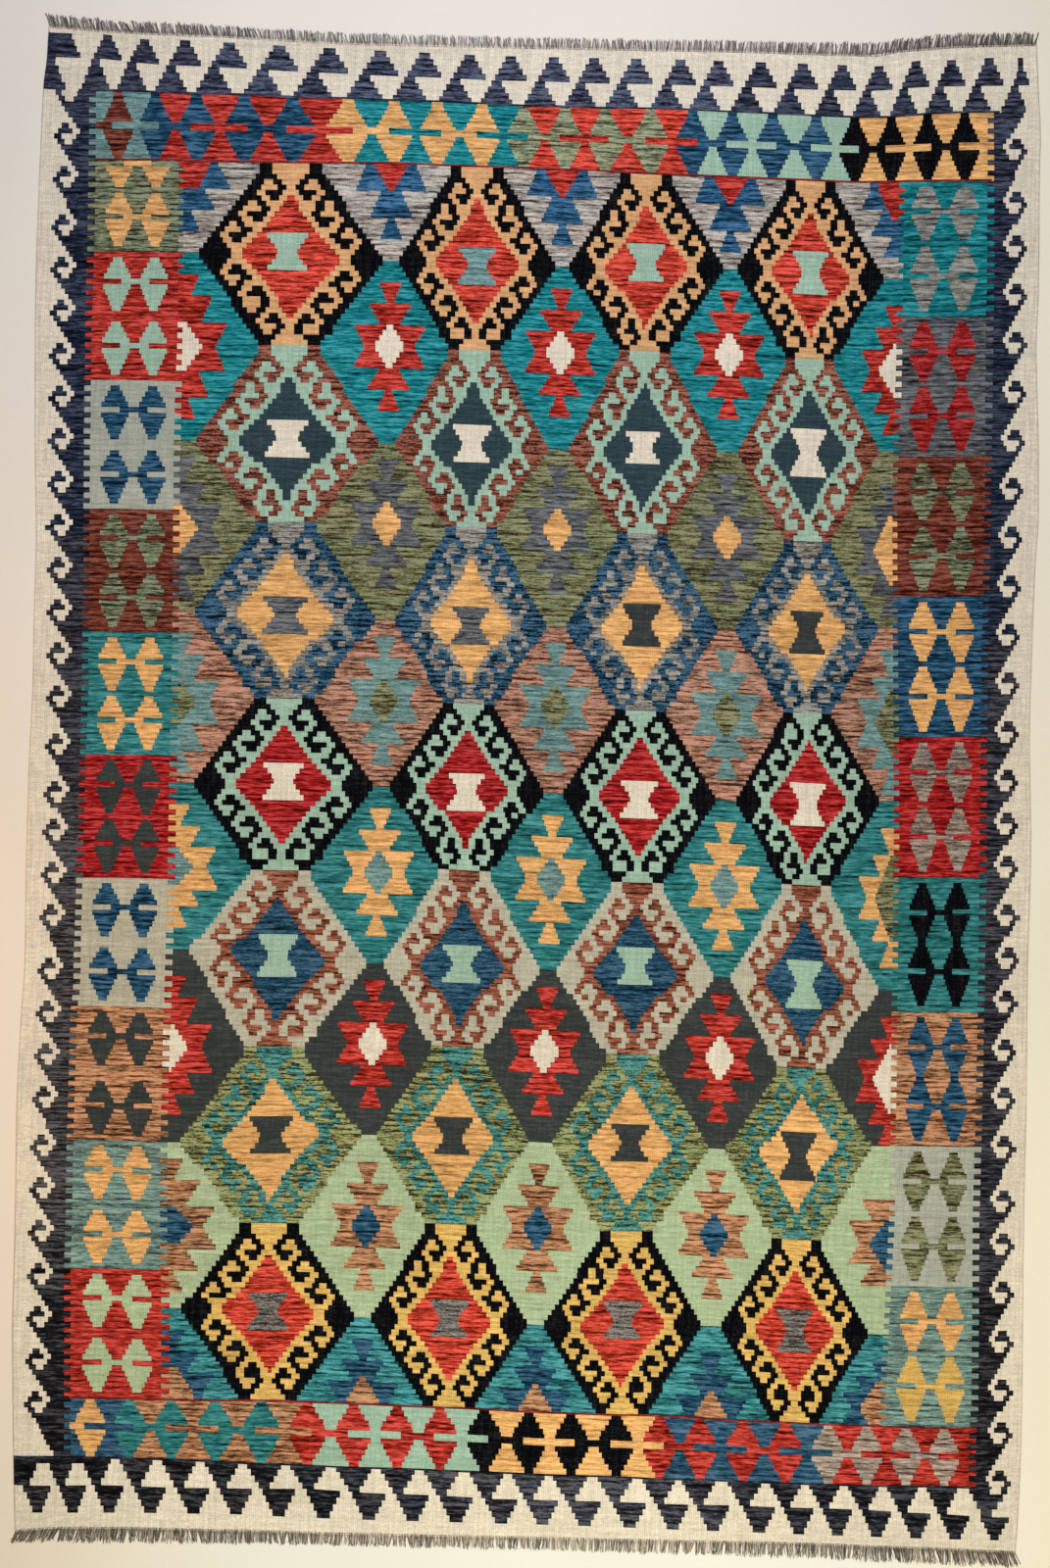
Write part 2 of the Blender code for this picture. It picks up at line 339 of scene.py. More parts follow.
# --- field ground ------------------------------------------------------------
TIPS = [(17, 18, 18, 17, 18), (52, 52, 52, 51, 50), (84, 85, 85, 84, 83),
        (116, 116, 116, 116, 115), (147, 149, 149, 149, 150), (183, 181, 181, 181, 179),
        (214, 215, 215, 214, 214)]
ROW_LINES = [(0, 34, 67, 100, 132, 165, 198, 231), (0, 34, 67, 100, 131, 164, 197, 231),
             (0, 33, 67, 100, 132, 164, 197, 231), (0, 33, 67, 99, 131, 165, 197, 231)]
TIP_X = [(199, 394.5, 403.7, 570, 577, 741, 749, 904.6),
         (196, 389.9, 400.2, 562, 577, 734, 750, 899),
         (195, 386.6, 399.8, 560.6, 574, 735, 747, 899),
         (194, 384, 393.8, 557.9, 571.1, 733, 748, 900),
         (189, 376.8, 388, 553.7, 564.3, 731, 742, 899),
         (180, 372, 381, 541.4, 559.7, 725, 736.5, 891),
         (181, 365, 374.9, 540.7, 551, 718, 732, 888.5)]
TIP_G = [17.5, 51.5, 84.5, 116.0, 149.0, 181.5, 214.5]
TIP_AT = [straight_table([(TIP_G[i], TIP_X[i][k]) for i in range(7)]) for k in range(8)]


def axis_of(col, g):
    return 0.5 * float(TIP_AT[2 * col](g) + TIP_AT[2 * col + 1](g))


GROUND = ["grey", "teal", "olive", "pink", "sea", "charcoal", "pale_mint", "lagoon"]
for g in range(0, 231):
    left = tooth(LEFT_IN, g, 180)
    right = tooth(RIGHT_IN, g, 915)
    cuts = [left] + [axis_of(c, g) for c in range(4)] + [right]
    for gap in range(5):
        band = sum(1 for i in range(7) if g >= TIPS[i][gap])
        lot = 100 + band * 10 + gap
        if gap == 0:
            paint(g, left, cuts[1], GROUND[band], lot)
        elif gap == 4:
            paint(g, cuts[4], right, GROUND[band], lot)
        else:
            paint(g, cuts[gap], cuts[gap + 1], GROUND[band], lot)

# --- stars between the medallions ---------------------------------------------
STAR_HALF = [(26.5, 14.2), (29.5, 10.5), (32.5, 7.0), (35.5, 3.5), (11, 0), (14, 0),
             (17.5, 0), (21, 0), (4, 0), (6.2, 0), (8.4, 0), (10.6, 0)]
FAR_HALF = [(26.5, 16.5), (28.8, 13.2), (31.0, 9.9), (33.2, 6.6), (35.5, 3.3), (11, 0),
            (13.5, 0), (16, 0), (18.5, 0), (21, 0), (4, 0), (6.2, 0), (8.4, 0), (10.6, 0)]
# Cut stars whose tiers reach further: ends of the tiers, least and added core.
SIDE_REACH = {(0, 0): (53, 37.7, 22.3, 20, 13), (6, 0): (59, 41, 23.6, 17, 18),
              (7, 0): (54.7, 38.6, 24.7, 16, 18), (0, 1): (54.8, 39.8, 24.7, 11.5, 18),
              (6, 1): (56.6, 41, 22.4, 9, 18), (7, 1): (55, 41, 20.5, 10.4, 18)}
# Stars cut by the side blocks: middle row, stretch, half height of the centre in rows.
SIDE_STARS = [[(0.3, 1.06, 5.0), (34.6, 1.15, 4.6), (68.4, 1.1, 4.2), (101.0, 1.1, 4.0),
               (131.6, 0.98, 4.0), (165.2, 1.1, 4.6), (198.8, 1.05, 3.4),
               (230.1, 1.0, 5.0)],
              [(1.1, 1.07, 6.2), (34.9, 1.0, 4.8), (68.4, 1.05, 6.6), (100.4, 1.1, 6.2),
               (133.0, 1.05, 8.2), (166.7, 1.0, 6.2), (197.3, 1.0, 4.4),
               (228.0, 0.78, 5.0)]]
STARS = [("sky", "red"), ("red", "ivory"), ("slate", "orange"), ("sage", "olive"),
         ("orange", "sage"), ("red", "ivory"), ("copper", "blue"), ("blue", "copper")]


def star_rows(centre, half, top, bottom):
    """Rows of one star: (row, half width, half width of its centre)."""
    out = []
    for n, (w, core) in enumerate(half):
        if top:
            out.append((centre - 1 - n, w, core))
        if bottom:
            out.append((centre + n, w, core))
    return out


for band in range(8):
    star, core_yarn = STARS[band]
    upper, lower = band > 0, band < 7
    for gap in range(1, 4):
        c = int(round(0.5 * (ROW_LINES[gap - 1][band] + ROW_LINES[gap][band])))
        for g, w, core in star_rows(c, STAR_HALF if upper else FAR_HALF, upper, lower):
            if not 0 <= g < 231:
                continue
            x = 0.5 * float(TIP_AT[2 * gap - 1](g) + TIP_AT[2 * gap](g))
            lot = 300 + band * 10 + gap
            paint(g, x - w, x + w, star, lot)
            if band == 7:
                core = (16.5, 13.2, 9.9, 6.6, 3.3, 0, 0, 0, 0, 0, 0, 0)[c - 1 - g]
            if core:
                paint(g, x - core, x + core, core_yarn, lot + 400)
    for side in (0, 1):
        c, stretch, deep = SIDE_STARS[side][band]
        for g in range(int(c - 16), int(c + 17)):
            if not 0 <= g < 231:
                continue
            away = g + 0.5 - c
            d = abs(away) / stretch
            if d >= 12 or (away < -3 and not upper) or (away > 3 and not lower):
                continue
            if band == 6 and side == 1 and d >= 8:
                continue
            reach = SIDE_REACH.get((band, side), (50.6, 34.2, 22.4, 8, 18))
            tier = int(d / 4)
            start = (39, 23, 12)[tier] + 0.5 * (reach[tier] - (50.6, 34.2, 22.4)[tier])
            w = start + (reach[tier] - start) * (d / 4 - tier)
            core = (reach[3] + reach[4] * (1 - abs(away) / deep)
                    if abs(away) < deep else 0)
            lot = 350 + band * 10 + side
            heart = "olive" if (band, side) == (4, 1) else core_yarn
            if side == 0:
                edge = tooth(LEFT_IN, g, 180)
                base = float(LEFT_IN[0](mid_y(g, 180)))
                paint(g, edge, base + w, star, lot)
                if core:
                    paint(g, edge, base + core, heart, lot + 400)
            else:
                edge = tooth(RIGHT_IN, g, 915)
                base = float(RIGHT_IN[1](mid_y(g, 915)))
                paint(g, base - w * 0.83, edge, star, lot)
                if core:
                    paint(g, base - core * 0.95, edge, heart, lot + 400)

# --- medallions -----------------------------------------------------------------
# Each chart row, axis outwards: (yarn part, how far it reaches in steps).
CHART = [
    (("H", 4.1), ("O", 7)),
    (("H", 3.1), ("O", 8)),
    (("H", 2), ("O", 4.1), ("H", 6.1), ("O", 9)),
    (("H", 1), ("O", 3.1), ("H", 6.8), ("O", 10)),
    (("H", 1.9), ("O", 6), ("H", 8), ("O", 11.2)),
    (("I", 0.9), ("H", 2.8), ("O", 5), ("H", 7), ("O", 12.3)),
    (("I", 1.8), ("H", 5.8), ("O", 8.1), ("H", 10.2), ("O", 13.3)),
    (("I", 2.7), ("H", 4.8), ("O", 7.1), ("H", 11.5), ("O", 14.4)),
    (("I", 3.7), ("H", 5.6), ("O", 10.6), ("H", 12.8), ("O", 15.5)),
    (("I", 4.7), ("H", 6.5), ("O", 9.2), ("H", 11.8), ("O", 16.5)),
    (("I", 5.6), ("H", 11.1), ("O", 13.1), ("H", 15), ("O", 17.5)),
    (("I", 6.6), ("H", 9), ("O", 12.1), ("H", 16), ("O", 18.5)),
    (("I", 7.8), ("H", 10.3), ("O", 15), ("H", 17), ("O", 19.3)),
    (("I", 9), ("H", 11.5), ("O", 14), ("H", 16.2), ("O", 20.2)),
    (("I", 10.2), ("H", 15), ("O", 21)),
    (("I", 11.2), ("H", 13.9), ("O", 21.7)),
    (("I", 11.8), ("H", 13.5), ("O", 22)),
]
# Bow ties: middle row in each medallion, and half width by column of medallions.
BOW_ROW = [(16.7, 18.3, 16.9, 17.0), (51.2, 51.8, 51.0, 50.4), (84.4, 85.3, 84.0, 83.7),
           (115.4, 116.2, 116.4, 116.1), (148.0, 148.5, 147.9, 149.5),
           (181.8, 180.9, 180.6, 181.5), (214.3, 214.8, 213.8, 214.1)]
BOW_HALF = (21.0, 19.6, 19.4, 18.2)
BOW = straight_table([(0.0, 0.45), (0.28, 0.58), (0.57, 0.78), (0.86, 1.0)])
BOW_WIDE = {(1, 0): 1.08, (2, 0): 1.12, (4, 0): 0.95, (5, 0): 1.06}
# Which chart row stands where: from an end (0) to the widest row (1) of a medallion.
UPPER_AT = straight_table([(0, 0), (0.03, 0), (0.15, 1.75), (0.45, 6.65), (0.75, 11.35),
                           (0.88, 13.5), (1, 16.6)])
LOWER_AT = straight_table([(0, 0.1), (0.15, 2.97), (0.45, 7.13), (0.75, 11.75),
                           (0.88, 13.8), (1, 16.6)])
LAST_AT = straight_table([(0, 0), (0.15, 2.28), (0.45, 6.94), (0.75, 11.6), (0.88, 13.7),
                          (1, 16.6)])
MEDALLION = [("black", "apricot", "brick", "mint"),
             ("rust_marl", "mint", "deep_slate", "ivory"),
             ("denim", "taupe", "orange", "slate"),
             ("black", "mint", "crimson", "ivory"),
             ("greige", "brown", "soft_blue", "mint"),
             ("olive_marl", "leek", "orange", "charcoal"),
             ("black", "gold", "brick", "ash")]
for i in range(7):
    outer, hook, inner, bow = MEDALLION[i]
    for col in range(4):
        top, bottom = ROW_LINES[col][i], ROW_LINES[col][i + 1]
        bow_yarn = bow
        if i == 2 and col >= 2:
            bow_yarn = "charcoal"
        if i == 0 and col == 1:
            bow_yarn = "sage"
        for side in (0, 1):
            tip = TIPS[i][col + side]
            for g in range(top, bottom):
                if g + 0.5 < tip:
                    t = (g + 0.5 - top) / (tip - top)
                    r = float(UPPER_AT(t))
                    r = int(0.5 * (r + 16.5 * t) if i == 3 else r)
                else:
                    t = (bottom - g - 0.5) / (bottom - tip)
                    r = int((LAST_AT if i == 6 else LOWER_AT)(t))
                r = min(16, max(0, r))
                axis = axis_of(col, g)
                reach = float(TIP_AT[2 * col + side](g)) - axis
                part = {"O": outer, "H": hook, "I": inner}
                lot = 800 + i * 40 + col * 8
                off = {"O": 0, "H": 1, "I": 2}
                core = CHART[r][0][1] if CHART[r][0][0] == "I" else 0.0
                drawn = (7.2 + 0.925 * r - core) / (CHART[r][-1][1] - core)
                for name, cols in reversed(CHART[r]):
                    if cols > core:
                        cols = core + (cols - core) * drawn
                    x = axis + reach * cols / 22.0
                    a, b = (x, axis) if side == 0 else (axis, x)
                    paint(g, a, b, part[name], lot + off[name])
        tall = 4.2 if col == 3 else 3.5
        for g in range(int(round(BOW_ROW[i][col] - tall)),
                       int(round(BOW_ROW[i][col] + tall))):
            w = BOW_HALF[col] * float(BOW(abs(g + 0.5 - BOW_ROW[i][col]) / tall))
            w *= BOW_WIDE.get((i, col), 1.0)
            axis = axis_of(col, g) - (3.5 if (i, col) == (0, 0) else 0.0)
            paint(g, axis - w, axis + w, bow_yarn, 800 + i * 40 + col * 8 + 3)

# --- blocks down the sides, each with two pairs of lozenges ----------------------
LEFT_C = (straight_table([(210, 121.7), (320, 118.5), (460, 116.6), (580, 115.7),
                          (700, 114), (830, 111.3), (930, 108), (990, 105),
                          (1060, 103.7), (1120, 101.8), (1230, 99.9), (1360, 99)]),
          straight_table([(210, 158.9), (320, 156.5), (460, 154.9), (580, 153.9),
                          (700, 152), (830, 149.1), (930, 146.3), (990, 144.4),
                          (1060, 142), (1120, 141), (1230, 139.1), (1360, 139.8)]))
RIGHT_C = (straight_table([(210, 944.8), (330, 942), (460, 941.6), (700, 941.3),
                           (850, 941.6), (925, 940.8), (1000, 939.3), (1080, 938.9),
                           (1230, 934), (1350, 932), (1420, 929)]),
           straight_table([(210, 983.8), (330, 981.4), (460, 980), (700, 979),
                           (850, 977.2), (925, 976.2), (1000, 975.7), (1080, 973.7),
                           (1230, 972), (1350, 969), (1420, 968.6)]))
LEFT_LINES = [0, 17, 41, 65, 88, 111, 134, 158, 183, 207, 231]
LEFT_YARNS = [("green", "orange"), ("red", "mint"), ("silver", "blue"), ("rust", "green"),
              ("sea", "orange"), ("crimson", "charcoal"), ("greige", "blue"),
              ("copper", "charcoal"), ("moss_teal", "orange"), ("red", "pale_mint")]
RIGHT_LINES = [0, 25, 51, 77, 103, 129, 154, 179, 205, 231]
RIGHT_YARNS = [("teal", "stone"), ("slate", "garnet"), ("rust", "green"), ("blue", "orange"),
               ("crimson", "fawn"), ("sea", "black"), ("copper", "blue"),
               ("silver", "olive"), ("moss_teal", "orange")]


def lozenge_pair(g0, rows, slot, centres, yarn, lot, skip=0):
    """One joined pair of lozenges; their slot row is cut in from each side."""
    for n in range(skip, rows):
        g = g0 + n
        c1 = float(centres[0](mid_y(g, 130 if centres is LEFT_C else 960)))
        c2 = float(centres[1](mid_y(g, 130 if centres is LEFT_C else 960)))
        if n == slot:
            paint(g, c1 + 4.6, c2 - 4.6, yarn, lot)
            continue
        t = (n + 0.5) / slot if n < slot else (rows - n - 0.5) / (rows - slot - 1)
        w = (3.3 + 11.9 * t) * (c2 - c1) / 38.0
        paint(g, c1 - w, c1 + w, yarn, lot)
        paint(g, c2 - w, c2 + w, yarn, lot)


for i in range(10):
    g0, g1 = LEFT_LINES[i], LEFT_LINES[i + 1]
    ground, motif = LEFT_YARNS[i]
    for g in range(g0, g1):
        paint(g, tooth(LEFT_OUT, g, 90), tooth(LEFT_IN, g, 180), ground, 1200 + i)
    if i == 0:
        lozenge_pair(-5, 10, 5, LEFT_C, motif, 1220, skip=5)
        lozenge_pair(6, 10, 4, LEFT_C, motif, 1221)
    else:
        lozenge_pair(g0 + 1, 10, 4, LEFT_C, motif, 1222 + 2 * i)
        lozenge_pair(g1 - 11, 10, 4, LEFT_C, motif, 1223 + 2 * i)
for i in range(9):
    g0, g1 = RIGHT_LINES[i], RIGHT_LINES[i + 1]
    ground, motif = RIGHT_YARNS[i]
    for g in range(g0, g1):
        paint(g, tooth(RIGHT_IN, g, 915), tooth(RIGHT_OUT, g, 1005), ground, 1300 + i)
    first = g0 if i == 0 else g0 + 1
    lozenge_pair(first, 11, 5, RIGHT_C, motif, 1320 + 2 * i, skip=1 if i == 0 else 0)
    lozenge_pair(g1 - 13, 12, 5, RIGHT_C, "golden" if i == 8 else motif, 1321 + 2 * i)

# --- bands of lozenges across both ends of the field ------------------------------
TOP_BAND = [("rust", [120.5]), ("blue", [158, 200, 249, 298]),
            ("orange", [356, 402.5, 446, 492]), ("fern", [534.5, 576.5, 617, 664]),
            ("blue", [707, 747, 788, 833]), ("black", [872, 909, 946, 984])]
TOP_GROUND = ["sage", "red", "teal", "brick", "mint", "orange"]
BOTTOM_BAND = [("orange", [92]), ("sea", [132, 174.5, 219, 266.7]),
               ("red", [313.6, 361, 405, 448.6]), ("black", [494, 539.6, 582, 628.6]),
               ("red", [673, 713.5, 758, 801]), ("sand_grey", [845, 884, 924, 963])]
BOTTOM_GROUND = ["bay_blue", "copper", "mint", "orange", "bay_blue", "red"]
# Half width of a lozenge, as a part of the way to its neighbour, row by row; the bar
# that parts it from the next covers the rows from BAR on, with the last part of one more.
TOP_HALF = [0.12, 0.15, 0.21, 0.28, 0.34, 0.40, 0.40, 0.40, 0.35, 0.29, 0.23, 0.17, 0.12]
BOTTOM_HALF = [0.11, 0.165, 0.25, 0.34, 0.375, 0.38, 0.385, 0.32, 0.26, 0.18, 0.11]
PART_ROWS = []                   # (from, to, stretches) for rows that are only partly bar


def cross_band(g0, half, groups, grounds, bar, lead, left_pair, right_pair, lot, start=0):
    """A band of lozenges: necks join them two and two, bars of the ground part them."""
    flat = [(c, yarn, j) for j, (yarn, cs) in enumerate(groups) for c in cs]

    def ground_of(g):
        x, right = tooth(left_pair, g, 90), tooth(right_pair, g, 1005)
        out = []
        for j in range(len(groups)):
            end = groups[j + 1][1][0] if j + 1 < len(groups) else right
            out.append((x, end, grounds[j], lot + j))
            x = end
        return out

    def bars_of(g):
        left, right = tooth(left_pair, g, 90), tooth(right_pair, g, 1005)
        out = ground_of(g)
        out.append((max(left, start), flat[0][0], flat[0][1], lot + 20))
        for m, (c, yarn, j) in enumerate(flat):
            after = flat[m + 1][0] if m + 1 < len(flat) else None
            if m % 2 == 1 and after:
                out.append((c, after, yarn, lot + 20 + m))
        for m, (c, yarn, j) in enumerate(flat):
            after = flat[m + 1][0] + 4.0 if m + 1 < len(flat) else right
            if m % 2 == 0:
                out.append((c - 6.0, after, grounds[j], lot + j))
        return out

    for n in range(len(half)):
        g = g0 + n
        if n == bar:
            for a, b, yarn, k in bars_of(g):
                paint(g, a, b, yarn, k)
            continue
        for a, b, yarn, k in ground_of(g):
            paint(g, a, b, yarn, k)
        for m, (c, yarn, j) in enumerate(flat):
            west = c - flat[m - 1][0] if m else flat[1][0] - c
            east = flat[m + 1][0] - c if m + 1 < len(flat) else west
            paint(g, c - half[n] * west, c + half[n] * east, yarn, lot + 20 + m)
    PART_ROWS.append((g0 + bar - lead, g0 + bar, bars_of(g0 + bar)))


cross_band(-13, TOP_HALF, TOP_BAND, TOP_GROUND, 6, 0.4, LEFT_OUT, RIGHT_OUT, 1400)
cross_band(231, BOTTOM_HALF, BOTTOM_BAND, BOTTOM_GROUND, 5, 0.25, LEFT_OUT, RIGHT_OUT, 1500, 71)

# --- end borders: stepped dark figures on ivory ------------------------------------
TOP_CAPS = [110, 147.6, 189, 234, 285, 336, 388, 433, 479, 521, 565, 606, 649, 694, 733,
            776, 819, 859, 896.5, 934, 970.6, 1009]
TIERS = [(0, 3), (-1, 4), (-2, 5), (-3, 6), (-4, -1), (-5, 0), (-6, 1), (-7, 2)]


def figure(rows, yarn, lot):
    """A stepped figure, (row, from, to) each."""
    for g, a, b in rows:
        paint(g, a, b, yarn, lot)


def top_lot(x):
    return "dusk" if 225 < x < 760 else "dusk_low"


def bottom_lot(x):
    return "jet" if x < 310 else "ink_pale" if 440 < x < 740 else "ink_low"


for k, c in enumerate(TOP_CAPS):
    nearby = TOP_CAPS[max(0, k - 1):k + 2]
    u = (nearby[-1] - nearby[0]) / (len(nearby) - 1) / 12.0
    figure([(-21 + n, c + (a - 1.5) * u, c + (b - 1.5) * u)
            for n, (a, b) in enumerate(TIERS)], top_lot(c), 1600 + k)
# The last figure on the right is narrow and runs into the band of hooks.
for g, a, b in ((-21, 1038, 1043.7), (-20, 1038, 1043.7), (-19, 1036.7, 1046.9),
                (-18, 1034.1, 1050), (-17, 1031, 1039.2), (-16, 1027.8, 1041.8),
                (-15, 1024.6, 1045), (-14, 1021.4, 1046.3)):
    paint(g, a, b, "dusk_low", 1640)
# The corner figure on the left reaches the edge of the cloth.
for g, b in ((-21, 73.7), (-20, 76.2), (-19, 78.7), (-18, 82.0), (-17, 57.6),
             (-16, 60.2), (-15, 62.8), (-14, 66.7)):
    paint(g, 0, b, "dusk_low", 1641)

BOTTOM_C = [38, 74, 111, 153, 197, 240.5, 284, 329.5, 376, 420.7, 465, 511, 553, 596,
            642, 686, 727, 774, 814.5, 854, 894, 934, 974]
LOW_TIERS = [(-0.2, 9.2), (0.8, 8.3), (1.9, 7.2), (3, 6.1), (4.1, 13), (5, 12.1),
             (5.9, 11.2), (6.8, 10.3)]
for k, c in enumerate(BOTTOM_C):
    nearby = BOTTOM_C[max(0, k - 1):k + 2]
    u = (nearby[-1] - nearby[0]) / (len(nearby) - 1) / 12.0
    rows = [(242 + n, c + (a - 8.5) * u, c + (b - 8.5) * u)
            for n, (a, b) in enumerate(LOW_TIERS)]
    if k in (1, 2):
        rows[0] = (242, BOTTOM_C[k - 1] + 3.0, rows[0][2])
    if k == 0:
        rows = [(g, 0, b) if g < 246 else (g, a, b) for g, a, b in rows]
    figure(rows, bottom_lot(c), 1700 + k)
figure([(242, 988.4, 1010), (243, 992.3, 1023), (244, 996, 1017.5), (245, 1000, 1012),
        (246, 1000.5, 1028), (247, 1003.6, 1025), (248, 1006.8, 1022),
        (249, 1010, 1019)], "ink_low", 1740)
paint(242, 1021, 1027.5, "ink_low", 1740)


# ---------------------------------------------------------------------------
# Rows of stretches to rows of boundaries.
# ---------------------------------------------------------------------------
RNG = random.Random(9159)
EDGE_ZONE = 18.0 / UNIT          # selvedge and its run-in, in survey units


def flatten(paints):
    cuts = sorted({v for p in paints for v in p[:2]})
    out = []
    for a, b in zip(cuts, cuts[1:]):
        m = 0.5 * (a + b)
        top = None
        for p in paints:
            if p[0] <= m < p[1]:
                top = p
        if top is None:
            continue
        if out and out[-1][2:] == top[2:]:
            out[-1] = (out[-1][0], b) + top[2:]
        else:
            out.append((a, b) + top[2:])
    return out


def tidy(runs, lo, hi, shortest=1.1):
    """Clip to the cloth and drop slivers narrower than half a warp."""
    runs = [(max(a, lo), min(b, hi), y, s) for a, b, y, s in runs if b > lo and a < hi]
    changed = True
    while changed:
        changed = False
        for i, (a, b, y, s) in enumerate(runs):
            if b - a < shortest and len(runs) > 1:
                if i == 0:
                    runs[1] = (a,) + runs[1][1:]
                elif i == len(runs) - 1:
                    runs[i - 1] = (runs[i - 1][0], b) + runs[i - 1][2:]
                else:
                    m = 0.5 * (a + b)
                    runs[i - 1] = (runs[i - 1][0], m) + runs[i - 1][2:]
                    runs[i + 1] = (m,) + runs[i + 1][1:]
                del runs[i]
                changed = True
                break
    merged = []
    for r in runs:
        if merged and merged[-1][2:] == r[2:]:
            merged[-1] = (merged[-1][0], r[1]) + r[2:]
        else:
            merged.append(r)
    return merged


def edge_x(g, side):
    """Where weft line g meets a long edge of the cloth."""
    table = EDGE_LEFT if side < 0 else EDGE_RIGHT
    x = 30.0 if side < 0 else 1050.0
    for _ in range(4):
        x = float(table(float(line_y(g, x))))
    return x


# A few picks of a plain colour mark off the borders: (from, to, yarn, x from, x to).
THREADS = [(-13.3, -13.0, "dusk_low", 80, 1020), (-0.42, 0.0, "wine", 96, 1012),
           (231.0, 231.36, "wine", 70, 996), (242.0, 242.3, "ink_low", 12, 1012)]
STOPS = sorted(set(range(FIRST, LAST + 1)) | {v for t in THREADS for v in t[:2]}
               | {v for t in PART_ROWS for v in t[:2]})
SPANS = list(zip(STOPS, STOPS[1:]))

WIDE = {}                        # whole rows, used for the selvedges
RUNS = {}                        # rows between the selvedges
before = []
for g, g2 in SPANS:
    extra = [(a, b, yarn, 5) for top, low, yarn, a, b in THREADS if top <= g < low]
    extra += [q for top, low, qs in PART_ROWS if top <= g < low for q in qs]
    runs = flatten(ROWS[math.floor(g)] + extra)
    WIDE[g] = runs
    lo = max(edge_x(g, -1), edge_x(g2, -1)) + EDGE_ZONE + 0.9
    hi = min(edge_x(g, 1), edge_x(g2, 1)) - EDGE_ZONE - 0.9
    runs = tidy(runs, lo, hi)
    cuts = [r[1] for r in runs[:-1]]
    moved = []
    for x in cuts:
        x += RNG.uniform(-0.22, 0.22)
        near = [p for p in before if abs(p - x) < 0.5]
        if near:
            x = min(near, key=lambda p: abs(p - x))
        if moved and x <= moved[-1] + 0.4:
            x = moved[-1] + 0.5
        moved.append(x)
    moved = [round(min(max(x, lo), hi), 3) for x in moved]
    kept, yarns = [], [runs[0][2:]]
    for x, r in zip(moved, runs[1:]):
        if kept and x <= kept[-1]:
            yarns[-1] = r[2:]
            continue
        kept.append(x)
        yarns.append(r[2:])
    RUNS[g] = (kept, yarns)
    before = kept

# ---------------------------------------------------------------------------
# The cloth as one closed mesh.
# ---------------------------------------------------------------------------
THICK = 3.0
# Selvedge section: (mm from the edge, height of the upper face).
CORDS = [(0.7, 2.35), (1.9, 2.86), (3.5, 3.05), (5.5, 2.88), (7.0, 2.55), (8.6, 2.86),
         (10.5, 3.03), (12.6, 2.88), (14.2, 2.72), (18.0, 3.0)]


def lift(x, y):
    """The cloth does not lie dead flat: slow low ripples, in mm."""
    x, y = np.asarray(x, float), np.asarray(y, float)
    a = np.sin(x * 2.6 + 0.7) * np.sin(y * 2.1 + 0.4)
    b = np.sin(x * 4.7 - y * 3.1 + 2.0)
    c = np.sin(x * 1.3 + y * 5.3 + 0.9)
    edge = np.clip((np.abs(x) - 0.62) / 0.4, 0, 1) ** 2
    ends = np.clip((np.abs(y) - 1.15) / 0.4, 0, 1) ** 2
    w = np.clip(0.9 * a + 0.5 * b + 0.4 * c, 0, None)
    return w * (0.35 + 1.1 * np.clip(edge + ends, 0, 1))


class Cloth:
    def __init__(self):
        self.co, self.faces, self.tint, self.upper = [], [], [], []
        self.weft = []           # number of the weft line each point lies on

    def vertex(self, x, y, z, g):
        self.co.append((x, y, z))
        self.weft.append(g)
        return len(self.co) - 1

    def face(self, ids, tint, upper):
        self.faces.append(ids)
        self.tint.append(tint)
        self.upper.append(upper)


TINTS = {}


def tint_of(yarn, lot, g):
    """Colour, streak, speckle and lot number of a stretch."""
    key = (yarn, lot)
    if key not in TINTS:
        r = random.Random("%s-%d" % (yarn, lot))
        rgb, streak, speckle = YARN[yarn]
        shade = 1.0 + r.uniform(-0.05, 0.05) * (1.0 if streak > 0.2 else 0.4)
        TINTS[key] = (tuple(linear(rgb) * shade), streak, speckle, r.random())
    return TINTS[key]


def yarn_at(g, x):
    for a, b, yarn, lot in WIDE[g]:
        if a <= x < b:
            return yarn, lot
    return "ivory", 1


